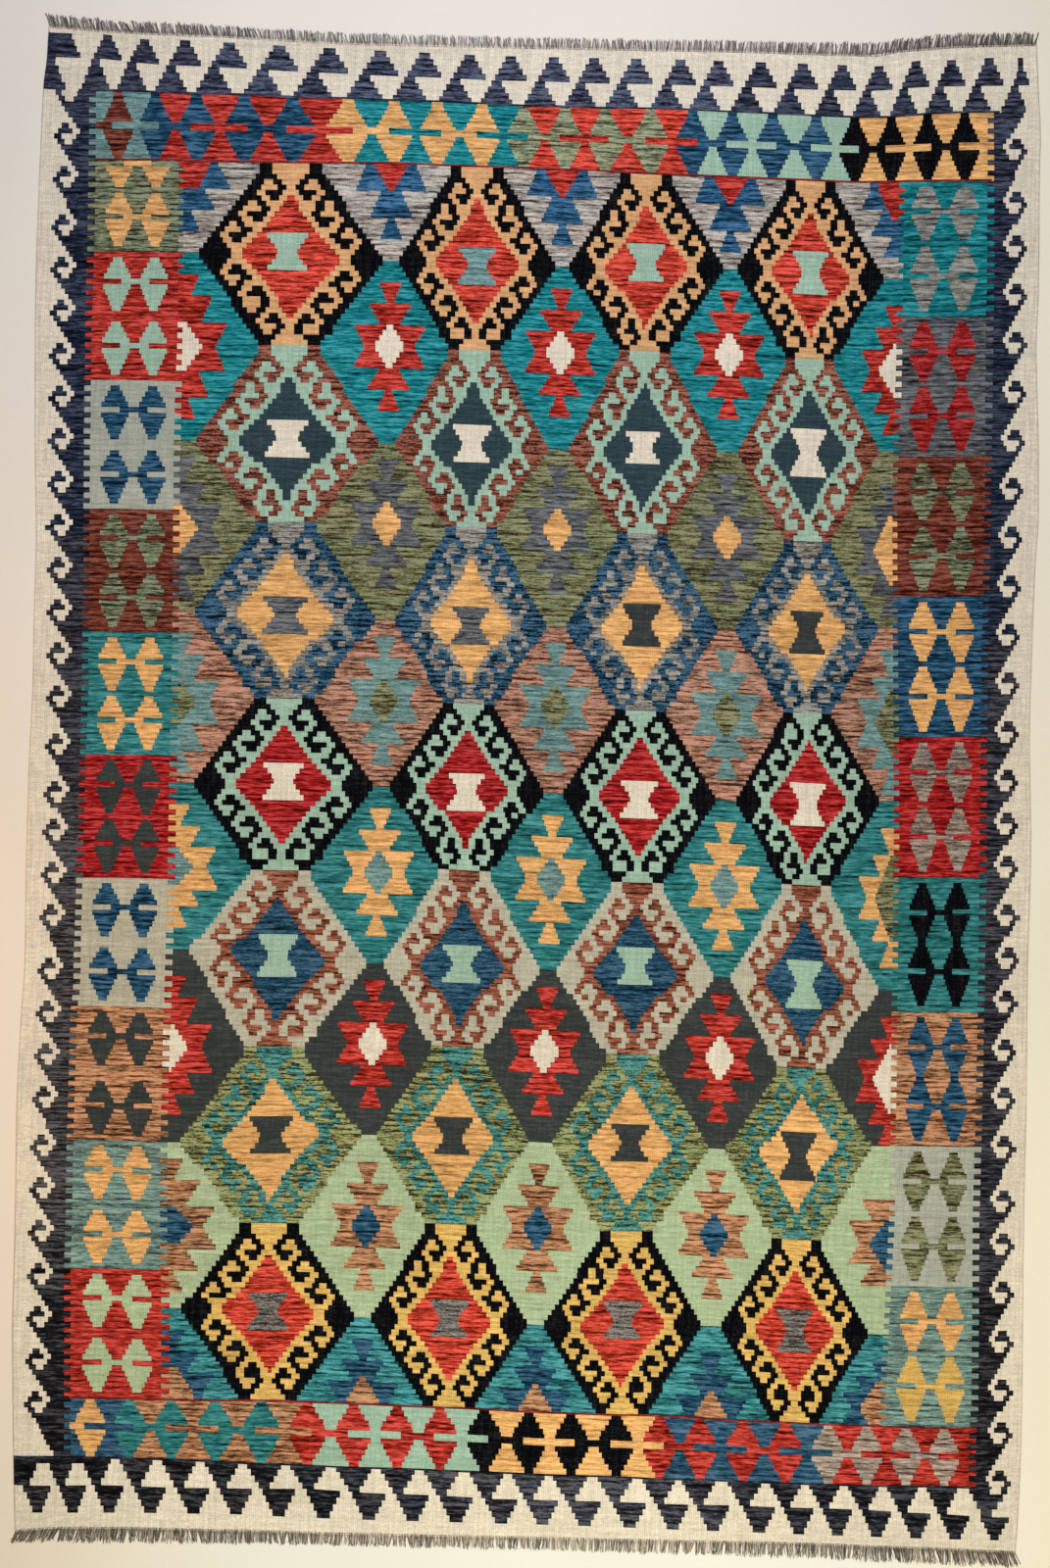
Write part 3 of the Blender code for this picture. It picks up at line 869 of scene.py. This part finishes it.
def build_cloth():
    cloth = Cloth()
    lines = STOPS
    interior = {}
    ends = {}
    above = {b: a for a, b in SPANS}
    for g in lines:
        xl, xr = edge_x(g, -1), edge_x(g, 1)
        ends[g] = (xl, xr)
        a, b = xl + EDGE_ZONE, xr - EDGE_ZONE
        xs = set()
        for row in (above.get(g), g):
            if row in RUNS:
                xs.update(RUNS[row][0])
        xs = [a] + sorted(xs) + [b]
        full = [xs[0]]
        for x in xs[1:]:
            gap = x - full[-1]
            if gap > 46:
                parts = int(math.ceil(gap / 34.0))
                start = full[-1]
                full += [start + gap * k / parts for k in range(1, parts)]
            full.append(x)
        interior[g] = full
    # vertices: per line a left selvedge, the interior and a right selvedge
    rows_top, rows_low, rims = {}, {}, {}
    for g in lines:
        xl, xr = ends[g]
        xs = ([xl] + [xl + c[0] / UNIT for c in CORDS[:-1]] + interior[g]
              + [xr - c[0] / UNIT for c in reversed(CORDS[:-1])] + [xr])
        hs = ([1.52] + [c[1] for c in CORDS[:-1]] + [THICK] * len(interior[g])
              + [c[1] for c in reversed(CORDS[:-1])] + [1.52])
        xs = np.array(xs)
        ys = line_y(g, xs)
        X, Y = place(xs, ys)
        up = lift(X, Y)
        ridge = 0.07 * math.sin(g * 2.4) + 0.05 * math.sin(g * 5.1)
        end = g in (FIRST, LAST)
        top, low, rim = [], [], []
        n = len(xs)
        for k in range(n):
            h = hs[k]
            if 10 <= k < n - 10:
                h = h - 0.07 + ridge
            if end:
                h = 1.52 + (h - 1.52) * 0.72
            z_top = (h + up[k]) * 0.001
            z_low = (3.05 - h + 0.02 + up[k]) * 0.001
            if k in (0, n - 1):
                v = cloth.vertex(X[k], Y[k], (1.54 + up[k]) * 0.001, g)
                top.append(v)
                low.append(v)
                rim.append(v)
            else:
                top.append(cloth.vertex(X[k], Y[k], z_top, g))
                low.append(cloth.vertex(X[k], Y[k], z_low, g))
                if end:
                    out = 0.0009 if g == FIRST else -0.0009
                    rim.append(cloth.vertex(X[k] + out * SIN, Y[k] + out * COS,
                                            (1.54 + up[k]) * 0.001, g))
        rows_top[g], rows_low[g], rims[g] = top, low, rim
    m = len(CORDS)               # first interior vertex on each line
    for g, g2 in SPANS:
        ya, yb = rows_top[g], rows_top[g2]
        la, lb = rows_low[g], rows_low[g2]
        na, nb = len(ya), len(yb)
        xl, xr = ends[g]
        # selvedges
        for k in range(m):
            inner = CORDS[k][0]
            outer = CORDS[k - 1][0] if k else 0.0
            centre = 0.5 * (inner + outer) / UNIT
            yarn, lot = yarn_at(g, xl + centre)
            t = tint_of(yarn, lot, g)
            cloth.face((ya[k], yb[k], yb[k + 1], ya[k + 1]), t, True)
            cloth.face((la[k], la[k + 1], lb[k + 1], lb[k]), t, False)
            yarn, lot = yarn_at(g, xr - centre)
            t = tint_of(yarn, lot, g)
            cloth.face((ya[na - 2 - k], yb[nb - 2 - k], yb[nb - 1 - k], ya[na - 1 - k]),
                       t, True)
            cloth.face((la[na - 2 - k], la[na - 1 - k], lb[nb - 1 - k], lb[nb - 2 - k]),
                       t, False)
        # interior strip
        A, B = interior[g], interior[g2]
        cuts, yarns = RUNS[g]
        i = j = 0
        for r, (yarn, lot) in enumerate(yarns):
            t = tint_of(yarn, lot, g)
            stop = cuts[r] if r < len(cuts) else None
            while True:
                a_done = i == len(A) - 1 or (stop is not None and A[i] >= stop)
                b_done = j == len(B) - 1 or (stop is not None and B[j] >= stop)
                if a_done and b_done:
                    break
                if b_done or (not a_done and A[i + 1] <= B[j + 1]):
                    cloth.face((ya[m + i], yb[m + j], ya[m + i + 1]), t, True)
                    cloth.face((la[m + i], la[m + i + 1], lb[m + j]), t, False)
                    i += 1
                else:
                    cloth.face((ya[m + i], yb[m + j], yb[m + j + 1]), t, True)
                    cloth.face((la[m + i], lb[m + j + 1], lb[m + j]), t, False)
                    j += 1
    # rounded ends
    for g, row in ((FIRST, FIRST), (LAST, LAST - 1)):
        top, low, rim = rows_top[g], rows_low[g], rims[g]
        for k in range(len(top) - 1):
            t = tint_of("ivory", 1, g)
            if g == FIRST:
                quads = ((top[k], top[k + 1], rim[k + 1], rim[k]),
                         (rim[k], rim[k + 1], low[k + 1], low[k]))
            else:
                quads = ((top[k], rim[k], rim[k + 1], top[k + 1]),
                         (rim[k], low[k], low[k + 1], rim[k + 1]))
            for n, q in enumerate(quads):
                ids = tuple(dict.fromkeys(q))
                if len(ids) > 2:
                    cloth.face(ids, t, n == 0)
    return cloth


def mesh_object(name, co, faces):
    mesh = bpy.data.meshes.new(name)
    mesh.from_pydata(co, [], faces)
    mesh.update()
    obj = bpy.data.objects.new(name, mesh)
    bpy.context.scene.collection.objects.link(obj)
    return obj


def add_yarn_attributes(mesh, tints, counts):
    """Per corner: colour with alpha 1, and (lot, speckle, streak)."""
    counts = np.asarray(counts)
    rgb = np.repeat(np.array([t[0] for t in tints]), counts, axis=0)
    streak = np.repeat(np.array([t[1] for t in tints]), counts)
    speckle = np.repeat(np.array([t[2] for t in tints]), counts)
    lot = np.repeat(np.array([t[3] for t in tints]), counts)
    col = mesh.color_attributes.new("yarn", "FLOAT_COLOR", "CORNER")
    col.data.foreach_set("color", np.concatenate([rgb, np.ones((len(rgb), 1))],
                                                 axis=1).astype(np.float32).ravel())
    kind = mesh.attributes.new("kind", "FLOAT_VECTOR", "CORNER")
    kind.data.foreach_set("vector", np.stack([lot, speckle, streak],
                                             axis=1).astype(np.float32).ravel())


# ---------------------------------------------------------------------------
# Materials
# ---------------------------------------------------------------------------
class Nodes:
    """Short-hand for building a node tree."""

    def __init__(self, name):
        self.mat = bpy.data.materials.new(name)
        self.mat.use_nodes = True
        self.tree = self.mat.node_tree
        self.tree.nodes.clear()

    def add(self, kind, **props):
        n = self.tree.nodes.new(kind)
        for k, v in props.items():
            setattr(n, k, v)
        return n

    def link(self, a, b):
        self.tree.links.new(a, b)

    def put(self, socket, value):
        if isinstance(value, bpy.types.NodeSocket):
            self.link(value, socket)
        else:
            socket.default_value = value

    def math(self, op, a, b=0.0, c=0.0, clamp=False):
        n = self.add("ShaderNodeMath", operation=op, use_clamp=clamp)
        for s, v in zip(n.inputs, (a, b, c)):
            self.put(s, v)
        return n.outputs[0]

    def vmath(self, op, a, b=(0, 0, 0)):
        n = self.add("ShaderNodeVectorMath", operation=op)
        self.put(n.inputs[0], a)
        self.put(n.inputs[1], b)
        return n.outputs[0]

    def combine(self, x, y, z):
        n = self.add("ShaderNodeCombineXYZ")
        for s, v in zip(n.inputs, (x, y, z)):
            self.put(s, v)
        return n.outputs[0]

    def separate(self, v):
        n = self.add("ShaderNodeSeparateXYZ")
        self.put(n.inputs[0], v)
        return n.outputs

    def noise(self, vector, scale=1.0, detail=2.0, rough=0.5):
        n = self.add("ShaderNodeTexNoise")
        self.put(n.inputs["Vector"], vector)
        n.inputs["Scale"].default_value = scale
        n.inputs["Detail"].default_value = detail
        n.inputs["Roughness"].default_value = rough
        return n.outputs["Fac"]

    def ramp(self, value, low, high, to_low=0.0, to_high=1.0):
        n = self.add("ShaderNodeMapRange", clamp=True)
        self.put(n.inputs["Value"], value)
        n.inputs["From Min"].default_value = low
        n.inputs["From Max"].default_value = high
        n.inputs["To Min"].default_value = to_low
        n.inputs["To Max"].default_value = to_high
        return n.outputs[0]

    def mix(self, factor, a, b, blend="MIX"):
        n = self.add("ShaderNodeMix", data_type="RGBA", blend_type=blend)
        self.put(n.inputs["Factor"], factor)
        self.put(n.inputs[6], a)
        self.put(n.inputs[7], b)
        return n.outputs[2]


def wool_material():
    n = Nodes("wool_weave_cloth")
    coord = n.add("ShaderNodeTexCoord").outputs["Object"]
    x, y, z = n.separate(coord)
    col = n.add("ShaderNodeAttribute", attribute_name="yarn").outputs["Color"]
    kind = n.add("ShaderNodeAttribute", attribute_name="kind").outputs["Vector"]
    lot, speckle, streak = n.separate(kind)
    # weft runs along the width; its lines are numbered down the cloth
    weft = n.add("ShaderNodeAttribute", attribute_name="weft").outputs["Fac"]
    along = n.math("ADD", n.math("MULTIPLY", x, COS), n.math("MULTIPLY", y, -SIN))
    shift = n.math("MULTIPLY", lot, 37.0)

    def strands(per_metre, per_row, offset, detail=1.5):
        """Noise drawn out along the weft, spread to about -1..1."""
        v = n.combine(n.math("MULTIPLY", along, per_metre),
                      n.math("MULTIPLY", weft, per_row), n.math("ADD", shift, offset))
        f = n.noise(v, 1.0, detail, 0.5)
        return n.math("MULTIPLY", n.math("SUBTRACT", f, 0.5), 4.0)

    broad = strands(8.0, 1.05, 0.0)          # lengths of hand-dyed yarn
    fine = strands(23.0, 2.3, 5.0)
    thin = strands(60.0, 4.6, 8.0, 1.0)
    fleck = strands(190.0, 5.5, 11.0, 1.0)   # heathered wool
    patch = strands(2.6, 0.16, 15.0, 1.0)    # slow drift of a dye lot
    hue = strands(4.0, 0.5, 33.0, 1.0)
    # ridges between beaten-down rows, wavering along the cloth; the hollows between them are
    # painted darker as shade in the colour, and also sunk in the bump
    waver = n.math("MULTIPLY", strands(13.0, 0.45, 21.0, 1.5), 0.26)
    ridge = n.math("COSINE", n.math("MULTIPLY", n.math("ADD", weft, waver), 2 * math.pi))
    row_hollow_shade = n.ramp(ridge, -0.1, 0.95)
    keep = n.ramp(strands(15.0, 0.9, 27.0, 1.0), -0.75, 0.75, 0.0, 1.0)
    row_hollow_shade = n.math("MULTIPLY", row_hollow_shade, keep)
    streaky = n.math("ADD", n.math("MULTIPLY", broad, 0.75),
                     n.math("ADD", n.math("MULTIPLY", fine, 1.25),
                            n.math("MULTIPLY", thin, 1.25)))
    streaky = n.math("ADD", streaky, n.math("MULTIPLY", patch, 0.30))
    streaky = n.math("ADD", streaky, 0.30)
    value = n.math("ADD", n.math("MULTIPLY", streaky, n.math("ADD", streak, 0.05)),
                   n.math("MULTIPLY", fleck, n.math("ADD", n.math("MULTIPLY", speckle,
                                                                  1.5), 0.18)))
    # painted shade: the colour is darkened along the hollows between rows
    value = n.math("SUBTRACT", value,
                   n.math("MULTIPLY", row_hollow_shade,
                          n.math("MULTIPLY", n.math("ADD", streak, 0.012), 1.9)))
    # the warps show through the plain pale stretches as faint upright lines
    upright = n.noise(n.combine(n.math("MULTIPLY", along, 165.0),
                                n.math("MULTIPLY", weft, 0.12), 61.0), 1.0, 1.0, 0.5)
    plain = n.ramp(streak, 0.05, 0.30, 1.0, 0.0)
    value = n.math("ADD", value, n.math("MULTIPLY", n.math("SUBTRACT", upright, 0.5),
                                        n.math("MULTIPLY", plain, 0.50)))
    light = n.math("MULTIPLY", n.math("MAXIMUM", value, 0.0), 1.15, clamp=True)
    dark = n.math("MULTIPLY", n.math("MINIMUM", value, 0.0), -0.95, clamp=True)
    # a lot drifts a little in hue along its rows
    warmer = n.mix(1.0, col, (1.16, 0.93, 0.84, 1.0), "MULTIPLY")
    cooler = n.mix(1.0, col, (0.86, 1.02, 1.10, 1.0), "MULTIPLY")
    turn = n.math("MULTIPLY", n.math("ADD", hue, n.math("MULTIPLY", thin, 0.5)),
                  n.math("MULTIPLY", streak, 0.8))
    dyed = n.mix(n.math("MAXIMUM", turn, 0.0, clamp=True), col, warmer)
    dyed = n.mix(n.math("MULTIPLY", n.math("MINIMUM", turn, 0.0), -1.0, clamp=True),
                 dyed, cooler)
    pale = n.vmath("ADD", n.vmath("SCALE", dyed), (0.050, 0.047, 0.047))
    pale.node.inputs[0].links[0].from_node.inputs["Scale"].default_value = 1.75
    tone = n.mix(light, dyed, pale)
    deep = n.mix(1.0, dyed, (0.14, 0.10, 0.11, 1.0), "MULTIPLY")
    tone = n.mix(dark, tone, deep)
    # ribs over the warps, each pick half a step off its neighbour's; painted shade darkens the
    # colour between ribs and between picks, and the same profile drives the bump
    rib_pos = n.math("DIVIDE", along, 0.0036)
    rib = n.math("ABSOLUTE", n.math("SINE", n.math("MULTIPLY", rib_pos, math.pi)))
    parity = n.math("FLOORED_MODULO", n.math("FLOOR", rib_pos), 2.0)
    pick_pos = n.math("ADD", n.math("MULTIPLY", weft, 8.0),
                      n.math("MULTIPLY", parity, 0.5))
    pick = n.math("ABSOLUTE", n.math("SINE", n.math("MULTIPLY", pick_pos, math.pi)))
    rib_s = n.math("POWER", rib, 0.6)
    pick_s = n.math("POWER", pick, 0.7)
    rib_groove_shade = n.ramp(rib_s, 0.0, 0.8, 0.70, 1.04)
    shade = n.math("MULTIPLY", rib_groove_shade, n.ramp(pick_s, 0.0, 0.9, 0.86, 1.02))
    # painted shade multiplied into the colour in the grooves between ribs and picks
    shaded = n.mix(1.0, tone, n.combine(shade, shade, shade), "MULTIPLY")
    # slow unevenness over the whole cloth
    slow = n.noise(coord, 3.1, 3.0, 0.55)
    slow_patches = n.ramp(slow, 0.3, 0.7, 0.93, 1.06)
    final = n.mix(1.0, shaded, n.combine(slow_patches, slow_patches, slow_patches), "MULTIPLY")
    fuzz = n.noise(coord, 1900.0, 1.0, 0.5)
    height = n.math("ADD", n.math("MULTIPLY", rib_s, 0.5),
                    n.math("ADD", n.math("MULTIPLY", pick_s, 0.35),
                           n.math("MULTIPLY", fuzz, 0.25)))
    height = n.math("ADD", height, n.math("MULTIPLY", fine, 0.18))
    height = n.math("SUBTRACT", height, n.math("MULTIPLY", row_hollow_shade, 0.9))
    bump = n.add("ShaderNodeBump")
    bump.inputs["Strength"].default_value = 0.6
    bump.inputs["Distance"].default_value = 0.0008
    n.link(height, bump.inputs["Height"])
    bsdf = n.add("ShaderNodeBsdfPrincipled")
    n.link(final, bsdf.inputs["Base Color"])
    n.link(bump.outputs[0], bsdf.inputs["Normal"])
    n.put(bsdf.inputs["Roughness"], n.ramp(fine, -1.0, 1.0, 0.84, 0.97))
    bsdf.inputs["Specular IOR Level"].default_value = 0.06
    bsdf.inputs["Sheen Weight"].default_value = 0.01
    bsdf.inputs["Sheen Roughness"].default_value = 0.5
    out = n.add("ShaderNodeOutputMaterial")
    n.link(bsdf.outputs[0], out.inputs["Surface"])
    return n.mat


def yarn_material():
    n = Nodes("warp_yarn_ends")
    coord = n.add("ShaderNodeTexCoord").outputs["Object"]
    col = n.add("ShaderNodeAttribute", attribute_name="yarn").outputs["Color"]
    fibre = n.noise(n.vmath("MULTIPLY", coord, (900.0, 420.0, 900.0)), 1.0, 2.0, 0.6)
    slow = n.noise(coord, 60.0, 2.0, 0.5)
    shade = n.math("MULTIPLY", n.ramp(fibre, 0.25, 0.75, 0.78, 1.2),
                   n.ramp(slow, 0.3, 0.7, 0.9, 1.1))
    final = n.mix(1.0, col, n.combine(shade, shade, shade), "MULTIPLY")
    bump = n.add("ShaderNodeBump")
    bump.inputs["Strength"].default_value = 0.5
    bump.inputs["Distance"].default_value = 0.0003
    n.link(fibre, bump.inputs["Height"])
    bsdf = n.add("ShaderNodeBsdfPrincipled")
    n.link(final, bsdf.inputs["Base Color"])
    n.link(bump.outputs[0], bsdf.inputs["Normal"])
    n.put(bsdf.inputs["Roughness"], n.ramp(fibre, 0.2, 0.8, 0.82, 0.95))
    bsdf.inputs["Specular IOR Level"].default_value = 0.2
    bsdf.inputs["Sheen Weight"].default_value = 0.15
    out = n.add("ShaderNodeOutputMaterial")
    n.link(bsdf.outputs[0], out.inputs["Surface"])
    return n.mat


def floor_material():
    n = Nodes("pale_floor")
    coord = n.add("ShaderNodeTexCoord").outputs["Object"]
    x, y, z = n.separate(coord)
    grain = n.noise(coord, 1.6, 3.0, 0.5)
    speck = n.noise(coord, 90.0, 2.0, 0.5)
    # painted light tint: the floor colour shifts from the far end to the near end, standing in
    # for the changing colour of the light
    near = n.ramp(y, -1.5, 1.5, 1.0, 0.0)
    tone = n.mix(near, (0.83, 0.745, 0.655, 1.0), (0.83, 0.78, 0.70, 1.0))
    # painted warm light: the floor turns warmer towards the right
    tone = n.mix(n.ramp(x, 0.75, 1.15), tone, (0.90, 0.80, 0.62, 1.0))
    # painted warm light: a warm pool on the floor left of the cloth, towards the near end
    west = n.math("MULTIPLY", n.ramp(x, -1.1, -0.5, 1.0, 0.0), near)
    tone = n.mix(west, tone, (0.81, 0.67, 0.52, 1.0))
    beside = n.math("ABSOLUTE", n.math("ADD", y, 0.4))
    outside = n.math("MULTIPLY", n.ramp(x, -1.5, -1.12, 1.0, 0.0),
                     n.ramp(beside, 0.2, 1.4, 1.0, 0.0))
    outside = n.math("MULTIPLY", outside, n.ramp(x, -3.0, -2.0, 0.0, 1.0))
    tone = n.mix(outside, tone, (0.55, 0.59, 0.61, 1.0))
    shade = n.math("MULTIPLY", n.ramp(grain, 0.3, 0.7, 0.97, 1.03),
                   n.ramp(speck, 0.3, 0.7, 0.99, 1.01))
    final = n.mix(1.0, tone, n.combine(shade, shade, shade), "MULTIPLY")
    bsdf = n.add("ShaderNodeBsdfPrincipled")
    n.link(final, bsdf.inputs["Base Color"])
    bsdf.inputs["Roughness"].default_value = 0.7
    bsdf.inputs["Specular IOR Level"].default_value = 0.2
    out = n.add("ShaderNodeOutputMaterial")
    n.link(bsdf.outputs[0], out.inputs["Surface"])
    return n.mat


# ---------------------------------------------------------------------------
# Cloth
# ---------------------------------------------------------------------------
cloth = build_cloth()
rug = mesh_object("rug_cloth", cloth.co, cloth.faces)
add_yarn_attributes(rug.data, cloth.tint, [len(f) for f in cloth.faces])
weft = rug.data.attributes.new("weft", "FLOAT", "POINT")
weft.data.foreach_set("value", np.array(cloth.weft, np.float32))
uv = rug.data.uv_layers.new(name="OFBake")
loops = np.array([v for f in cloth.faces for v in f])
counts = np.array([len(f) for f in cloth.faces])
upper = np.repeat(np.array(cloth.upper), counts)
co = np.array(cloth.co)
X, Y = co[loops, 0], co[loops, 1]
u = (X + 1.03) / 4.14
u = np.where(upper, u, 0.998 - u)
v = (Y + 1.56) / 4.14 + 0.12
uv.data.foreach_set("uv", np.stack([u, v], axis=1).astype(np.float32).ravel())
uv.active_render = True
rug.data.materials.append(wool_material())
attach(rug, "root")
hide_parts("kilim_cloth")

# ---------------------------------------------------------------------------
# Fringes: the cut warp ends, lying out from each end of the cloth.
# ---------------------------------------------------------------------------
LEAN = {+1: straight_table([(-1.0, -24), (-0.93, -16), (-0.83, -24), (-0.64, -12),
                            (-0.36, -4), (0, -3), (0.4, 4), (0.7, 8), (0.88, 3),
                            (1.015, 10)]),
        -1: straight_table([(-1.0, -34), (-0.93, -24), (-0.83, -8), (-0.64, 3),
                            (-0.36, -4), (0, 2), (0.4, -3), (0.7, 4), (0.88, 12),
                            (1.015, 26)])}
REACH = {+1: straight_table([(-1.0, 28), (-0.8, 26), (-0.4, 23), (0, 22), (0.4, 23),
                             (0.8, 29), (1.0, 26)]),
         -1: straight_table([(-1.0, 32), (-0.8, 30), (-0.4, 25), (0, 25), (0.4, 28),
                             (0.8, 33), (1.0, 33)])}
# The warp is a paler grey along the middle of both ends.
PALER = {+1: straight_table([(-0.94, 1.1), (-0.7, 1.3), (-0.47, 1.85), (-0.15, 2.2),
                             (0.16, 1.85), (0.48, 1.5), (0.79, 0.9), (0.96, 0.7)]),
         -1: straight_table([(-0.94, 0.95), (-0.47, 1.13), (-0.15, 1.75), (0.16, 1.75),
                             (0.48, 1.55), (0.79, 1.0), (0.96, 0.85)])}
GREYS = [(84, 76, 72), (108, 97, 91), (132, 120, 112), (158, 144, 134), (66, 60, 57),
         (176, 162, 150), (96, 87, 82)]


def build_fringe(end):
    rng = random.Random(515 + end)
    g = FIRST if end > 0 else LAST
    xl, xr = edge_x(g, -1) + 1.2, edge_x(g, 1) - 1.2
    co, faces, tints = [], [], []
    sides = 5
    total = int((xr - xl) * UNIT / 1.05)
    clump_dir, clump_left, clump_len = 0.0, 0, 1.0
    for k in range(total):
        if clump_left <= 0:
            clump_left = rng.randint(5, 11)
            clump_dir = rng.gauss(0, 5.5)
            clump_len = rng.uniform(0.9, 1.07)
            clump_size = clump_left
        clump_left -= 1
        x = xl + (xr - xl) * (k + 0.5 + rng.uniform(-0.3, 0.3)) / total
        X, Y = place(x, float(line_y(g, x)))
        up = float(lift(X, Y))
        where = clump_left / max(1, clump_size - 1) - 0.5
        angle = math.radians(float(LEAN[end](X)) + clump_dir + where * 9.0
                             + rng.gauss(0, 3.0))
        length = float(REACH[end](X)) * clump_len * rng.uniform(0.82, 1.05)
        radius = rng.uniform(0.62, 0.95)
        curl = rng.gauss(0, 0.10)
        segs = 4
        ring0 = len(co)
        layer = rng.choice((0.0, 0.3, 1.3))
        phase = rng.uniform(0, 6.28)
        for s in range(segs + 1):
            t = s / segs
            d = -2.0 + (length + 2.0) * t
            side = math.sin(angle) * d + curl * length * t * t
            out = math.cos(angle) * d
            z = max(radius, (1.5 + up) * (1 - t) ** 1.6 + radius * 0.95 + layer * t
                    * (1.3 - t))
            z = min(z, 2.1 + up) if s == 0 else z
            r = radius * (1.0, 1.0, 0.95, 0.9, 0.55)[s]
            cx = X + 0.001 * (side * COS + end * 0)
            cy = Y + 0.001 * end * out
            for q in range(sides):
                a = phase + 2 * math.pi * q / sides
                co.append((cx + 0.001 * r * math.cos(a), cy, 0.001 * (z + r * math.sin(a))))
        rgb = GREYS[rng.randrange(len(GREYS))]
        shade = rng.uniform(0.80, 1.15) * float(PALER[end](X))
        # painted warm light: the fringe at the near end is tinted warmer than at the far end,
        # though both are the same warp
        warm = (1.0, 1.0, 1.0) if end > 0 else (1.0, 0.96, 0.86)
        tint = (tuple(np.minimum(linear(rgb) * shade * warm, 0.70)), 0.0, 0.0, rng.random())
        for s in range(segs):
            for q in range(sides):
                a = ring0 + s * sides + q
                b = ring0 + s * sides + (q + 1) % sides
                c, d2 = b + sides, a + sides
                f = (a, b, c, d2) if end < 0 else (a, d2, c, b)
                faces.append(f)
                tints.append(tint)
        cap = tuple(ring0 + q for q in range(sides))
        tip = tuple(ring0 + segs * sides + q for q in range(sides))
        faces.append(cap if end > 0 else cap[::-1])
        faces.append(tip[::-1] if end > 0 else tip)
        tints += [tint, tint]
    # the row of knots that holds the last weft
    knots = int((xr - xl) * UNIT / 3.5)
    for k in range(knots):
        x = xl + (xr - xl) * (k + 0.5) / knots
        X, Y = place(x, float(line_y(g, x)))
        up = float(lift(X, Y))
        base = len(co)
        rx, ry, rz = 1.55, rng.uniform(1.3, 2.0), 1.25
        cz = 1.75 + up
        cy = Y + 0.001 * end * 0.9
        co.append((X, cy, 0.001 * (cz - rz)))
        for lat in (-0.5, 0.5):
            for q in range(6):
                a = math.pi * q / 3
                k2 = math.sqrt(1 - lat * lat)
                co.append((X + 0.001 * rx * k2 * math.cos(a),
                           cy + 0.001 * ry * k2 * math.sin(a), 0.001 * (cz + rz * lat)))
        co.append((X, cy, 0.001 * (cz + rz)))
        shade = rng.uniform(0.86, 1.0)
        tint = (tuple(linear((226, 216, 198)) * shade), 0.0, 0.0, 0.0)
        for q in range(6):
            p = (q + 1) % 6
            faces += [(base, base + 1 + p, base + 1 + q),
                      (base + 1 + q, base + 1 + p, base + 7 + p, base + 7 + q),
                      (base + 7 + q, base + 7 + p, base + 13)]
            tints += [tint] * 3
    name = "fringe_yarns_top" if end > 0 else "fringe_yarns_bottom"
    obj = mesh_object(name, co, faces)
    add_yarn_attributes(obj.data, tints, [len(f) for f in faces])
    return obj


yarn_mat = yarn_material()
for end, node in ((+1, "fringe_top"), (-1, "fringe_bottom")):
    obj = build_fringe(end)
    obj.data.materials.append(yarn_mat)
    for p in obj.data.polygons:
        p.use_smooth = True
    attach(obj, "root")
    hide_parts(node)

# ---------------------------------------------------------------------------
# Floor, light and camera
# ---------------------------------------------------------------------------
bpy.ops.mesh.primitive_plane_add(size=180.0, location=(0, 0, -0.0001))
floor = bpy.context.object
floor.name = "floor"
floor.data.materials.append(floor_material())

world = bpy.data.worlds.new("studio")
bpy.context.scene.world = world
world.use_nodes = True
world.node_tree.nodes["Background"].inputs[0].default_value = (1.0, 0.965, 0.92, 1.0)
world.node_tree.nodes["Background"].inputs[1].default_value = 0.22


def area(name, loc, aim, size, power, colour):
    data = bpy.data.lights.new(name, "AREA")
    data.shape = "RECTANGLE"
    data.size, data.size_y = size
    data.energy = power
    data.color = colour
    obj = bpy.data.objects.new(name, data)
    obj.location = loc
    d = np.array(aim, float) - np.array(loc, float)
    obj.rotation_euler = (math.atan2(math.hypot(d[0], d[1]), -d[2]), 0.0,
                          math.atan2(d[1], d[0]) - math.pi / 2)
    obj.visible_camera = False
    bpy.context.scene.collection.objects.link(obj)
    return obj


area("soft_far", (0.0, 1.5, 2.3), (0.0, 1.5, 0.0), (1.2, 1.0), 45.0, (0.82, 0.88, 1.0))
area("soft_near", (0.12, -1.7, 2.3), (0.12, -1.7, 0.0), (1.2, 1.0), 41.0,
     (0.93, 1.0, 0.863))
area("soft_left", (-1.8, -0.4, 0.7), (-1.0, -0.4, 0.0), (0.9, 1.2), 5.2, (1.0, 0.60, 0.33))
area("soft_right", (0.9, -1.2, 2.3), (0.9, -1.2, 0.0), (1.0, 1.4), 11.3,
     (1.0, 0.75, 0.56))

cam_data = bpy.data.cameras.new("camera")
cam = bpy.data.objects.new("camera", cam_data)
bpy.context.scene.collection.objects.link(cam)
cx, cy = place(535.5, 800.0)
DIST = 6.5
cam.location = (cx, cy, DIST)
cam.rotation_euler = (0.0, 0.0, TURN)
cam_data.sensor_fit = "VERTICAL"
cam_data.sensor_height = 24.0
cam_data.lens = 24.0 * (DIST - 0.003) / (1600 * UNIT * 0.001)
cam_data.clip_end = 100.0
bpy.context.scene.camera = cam
bpy.context.scene.view_settings.view_transform = "Standard"
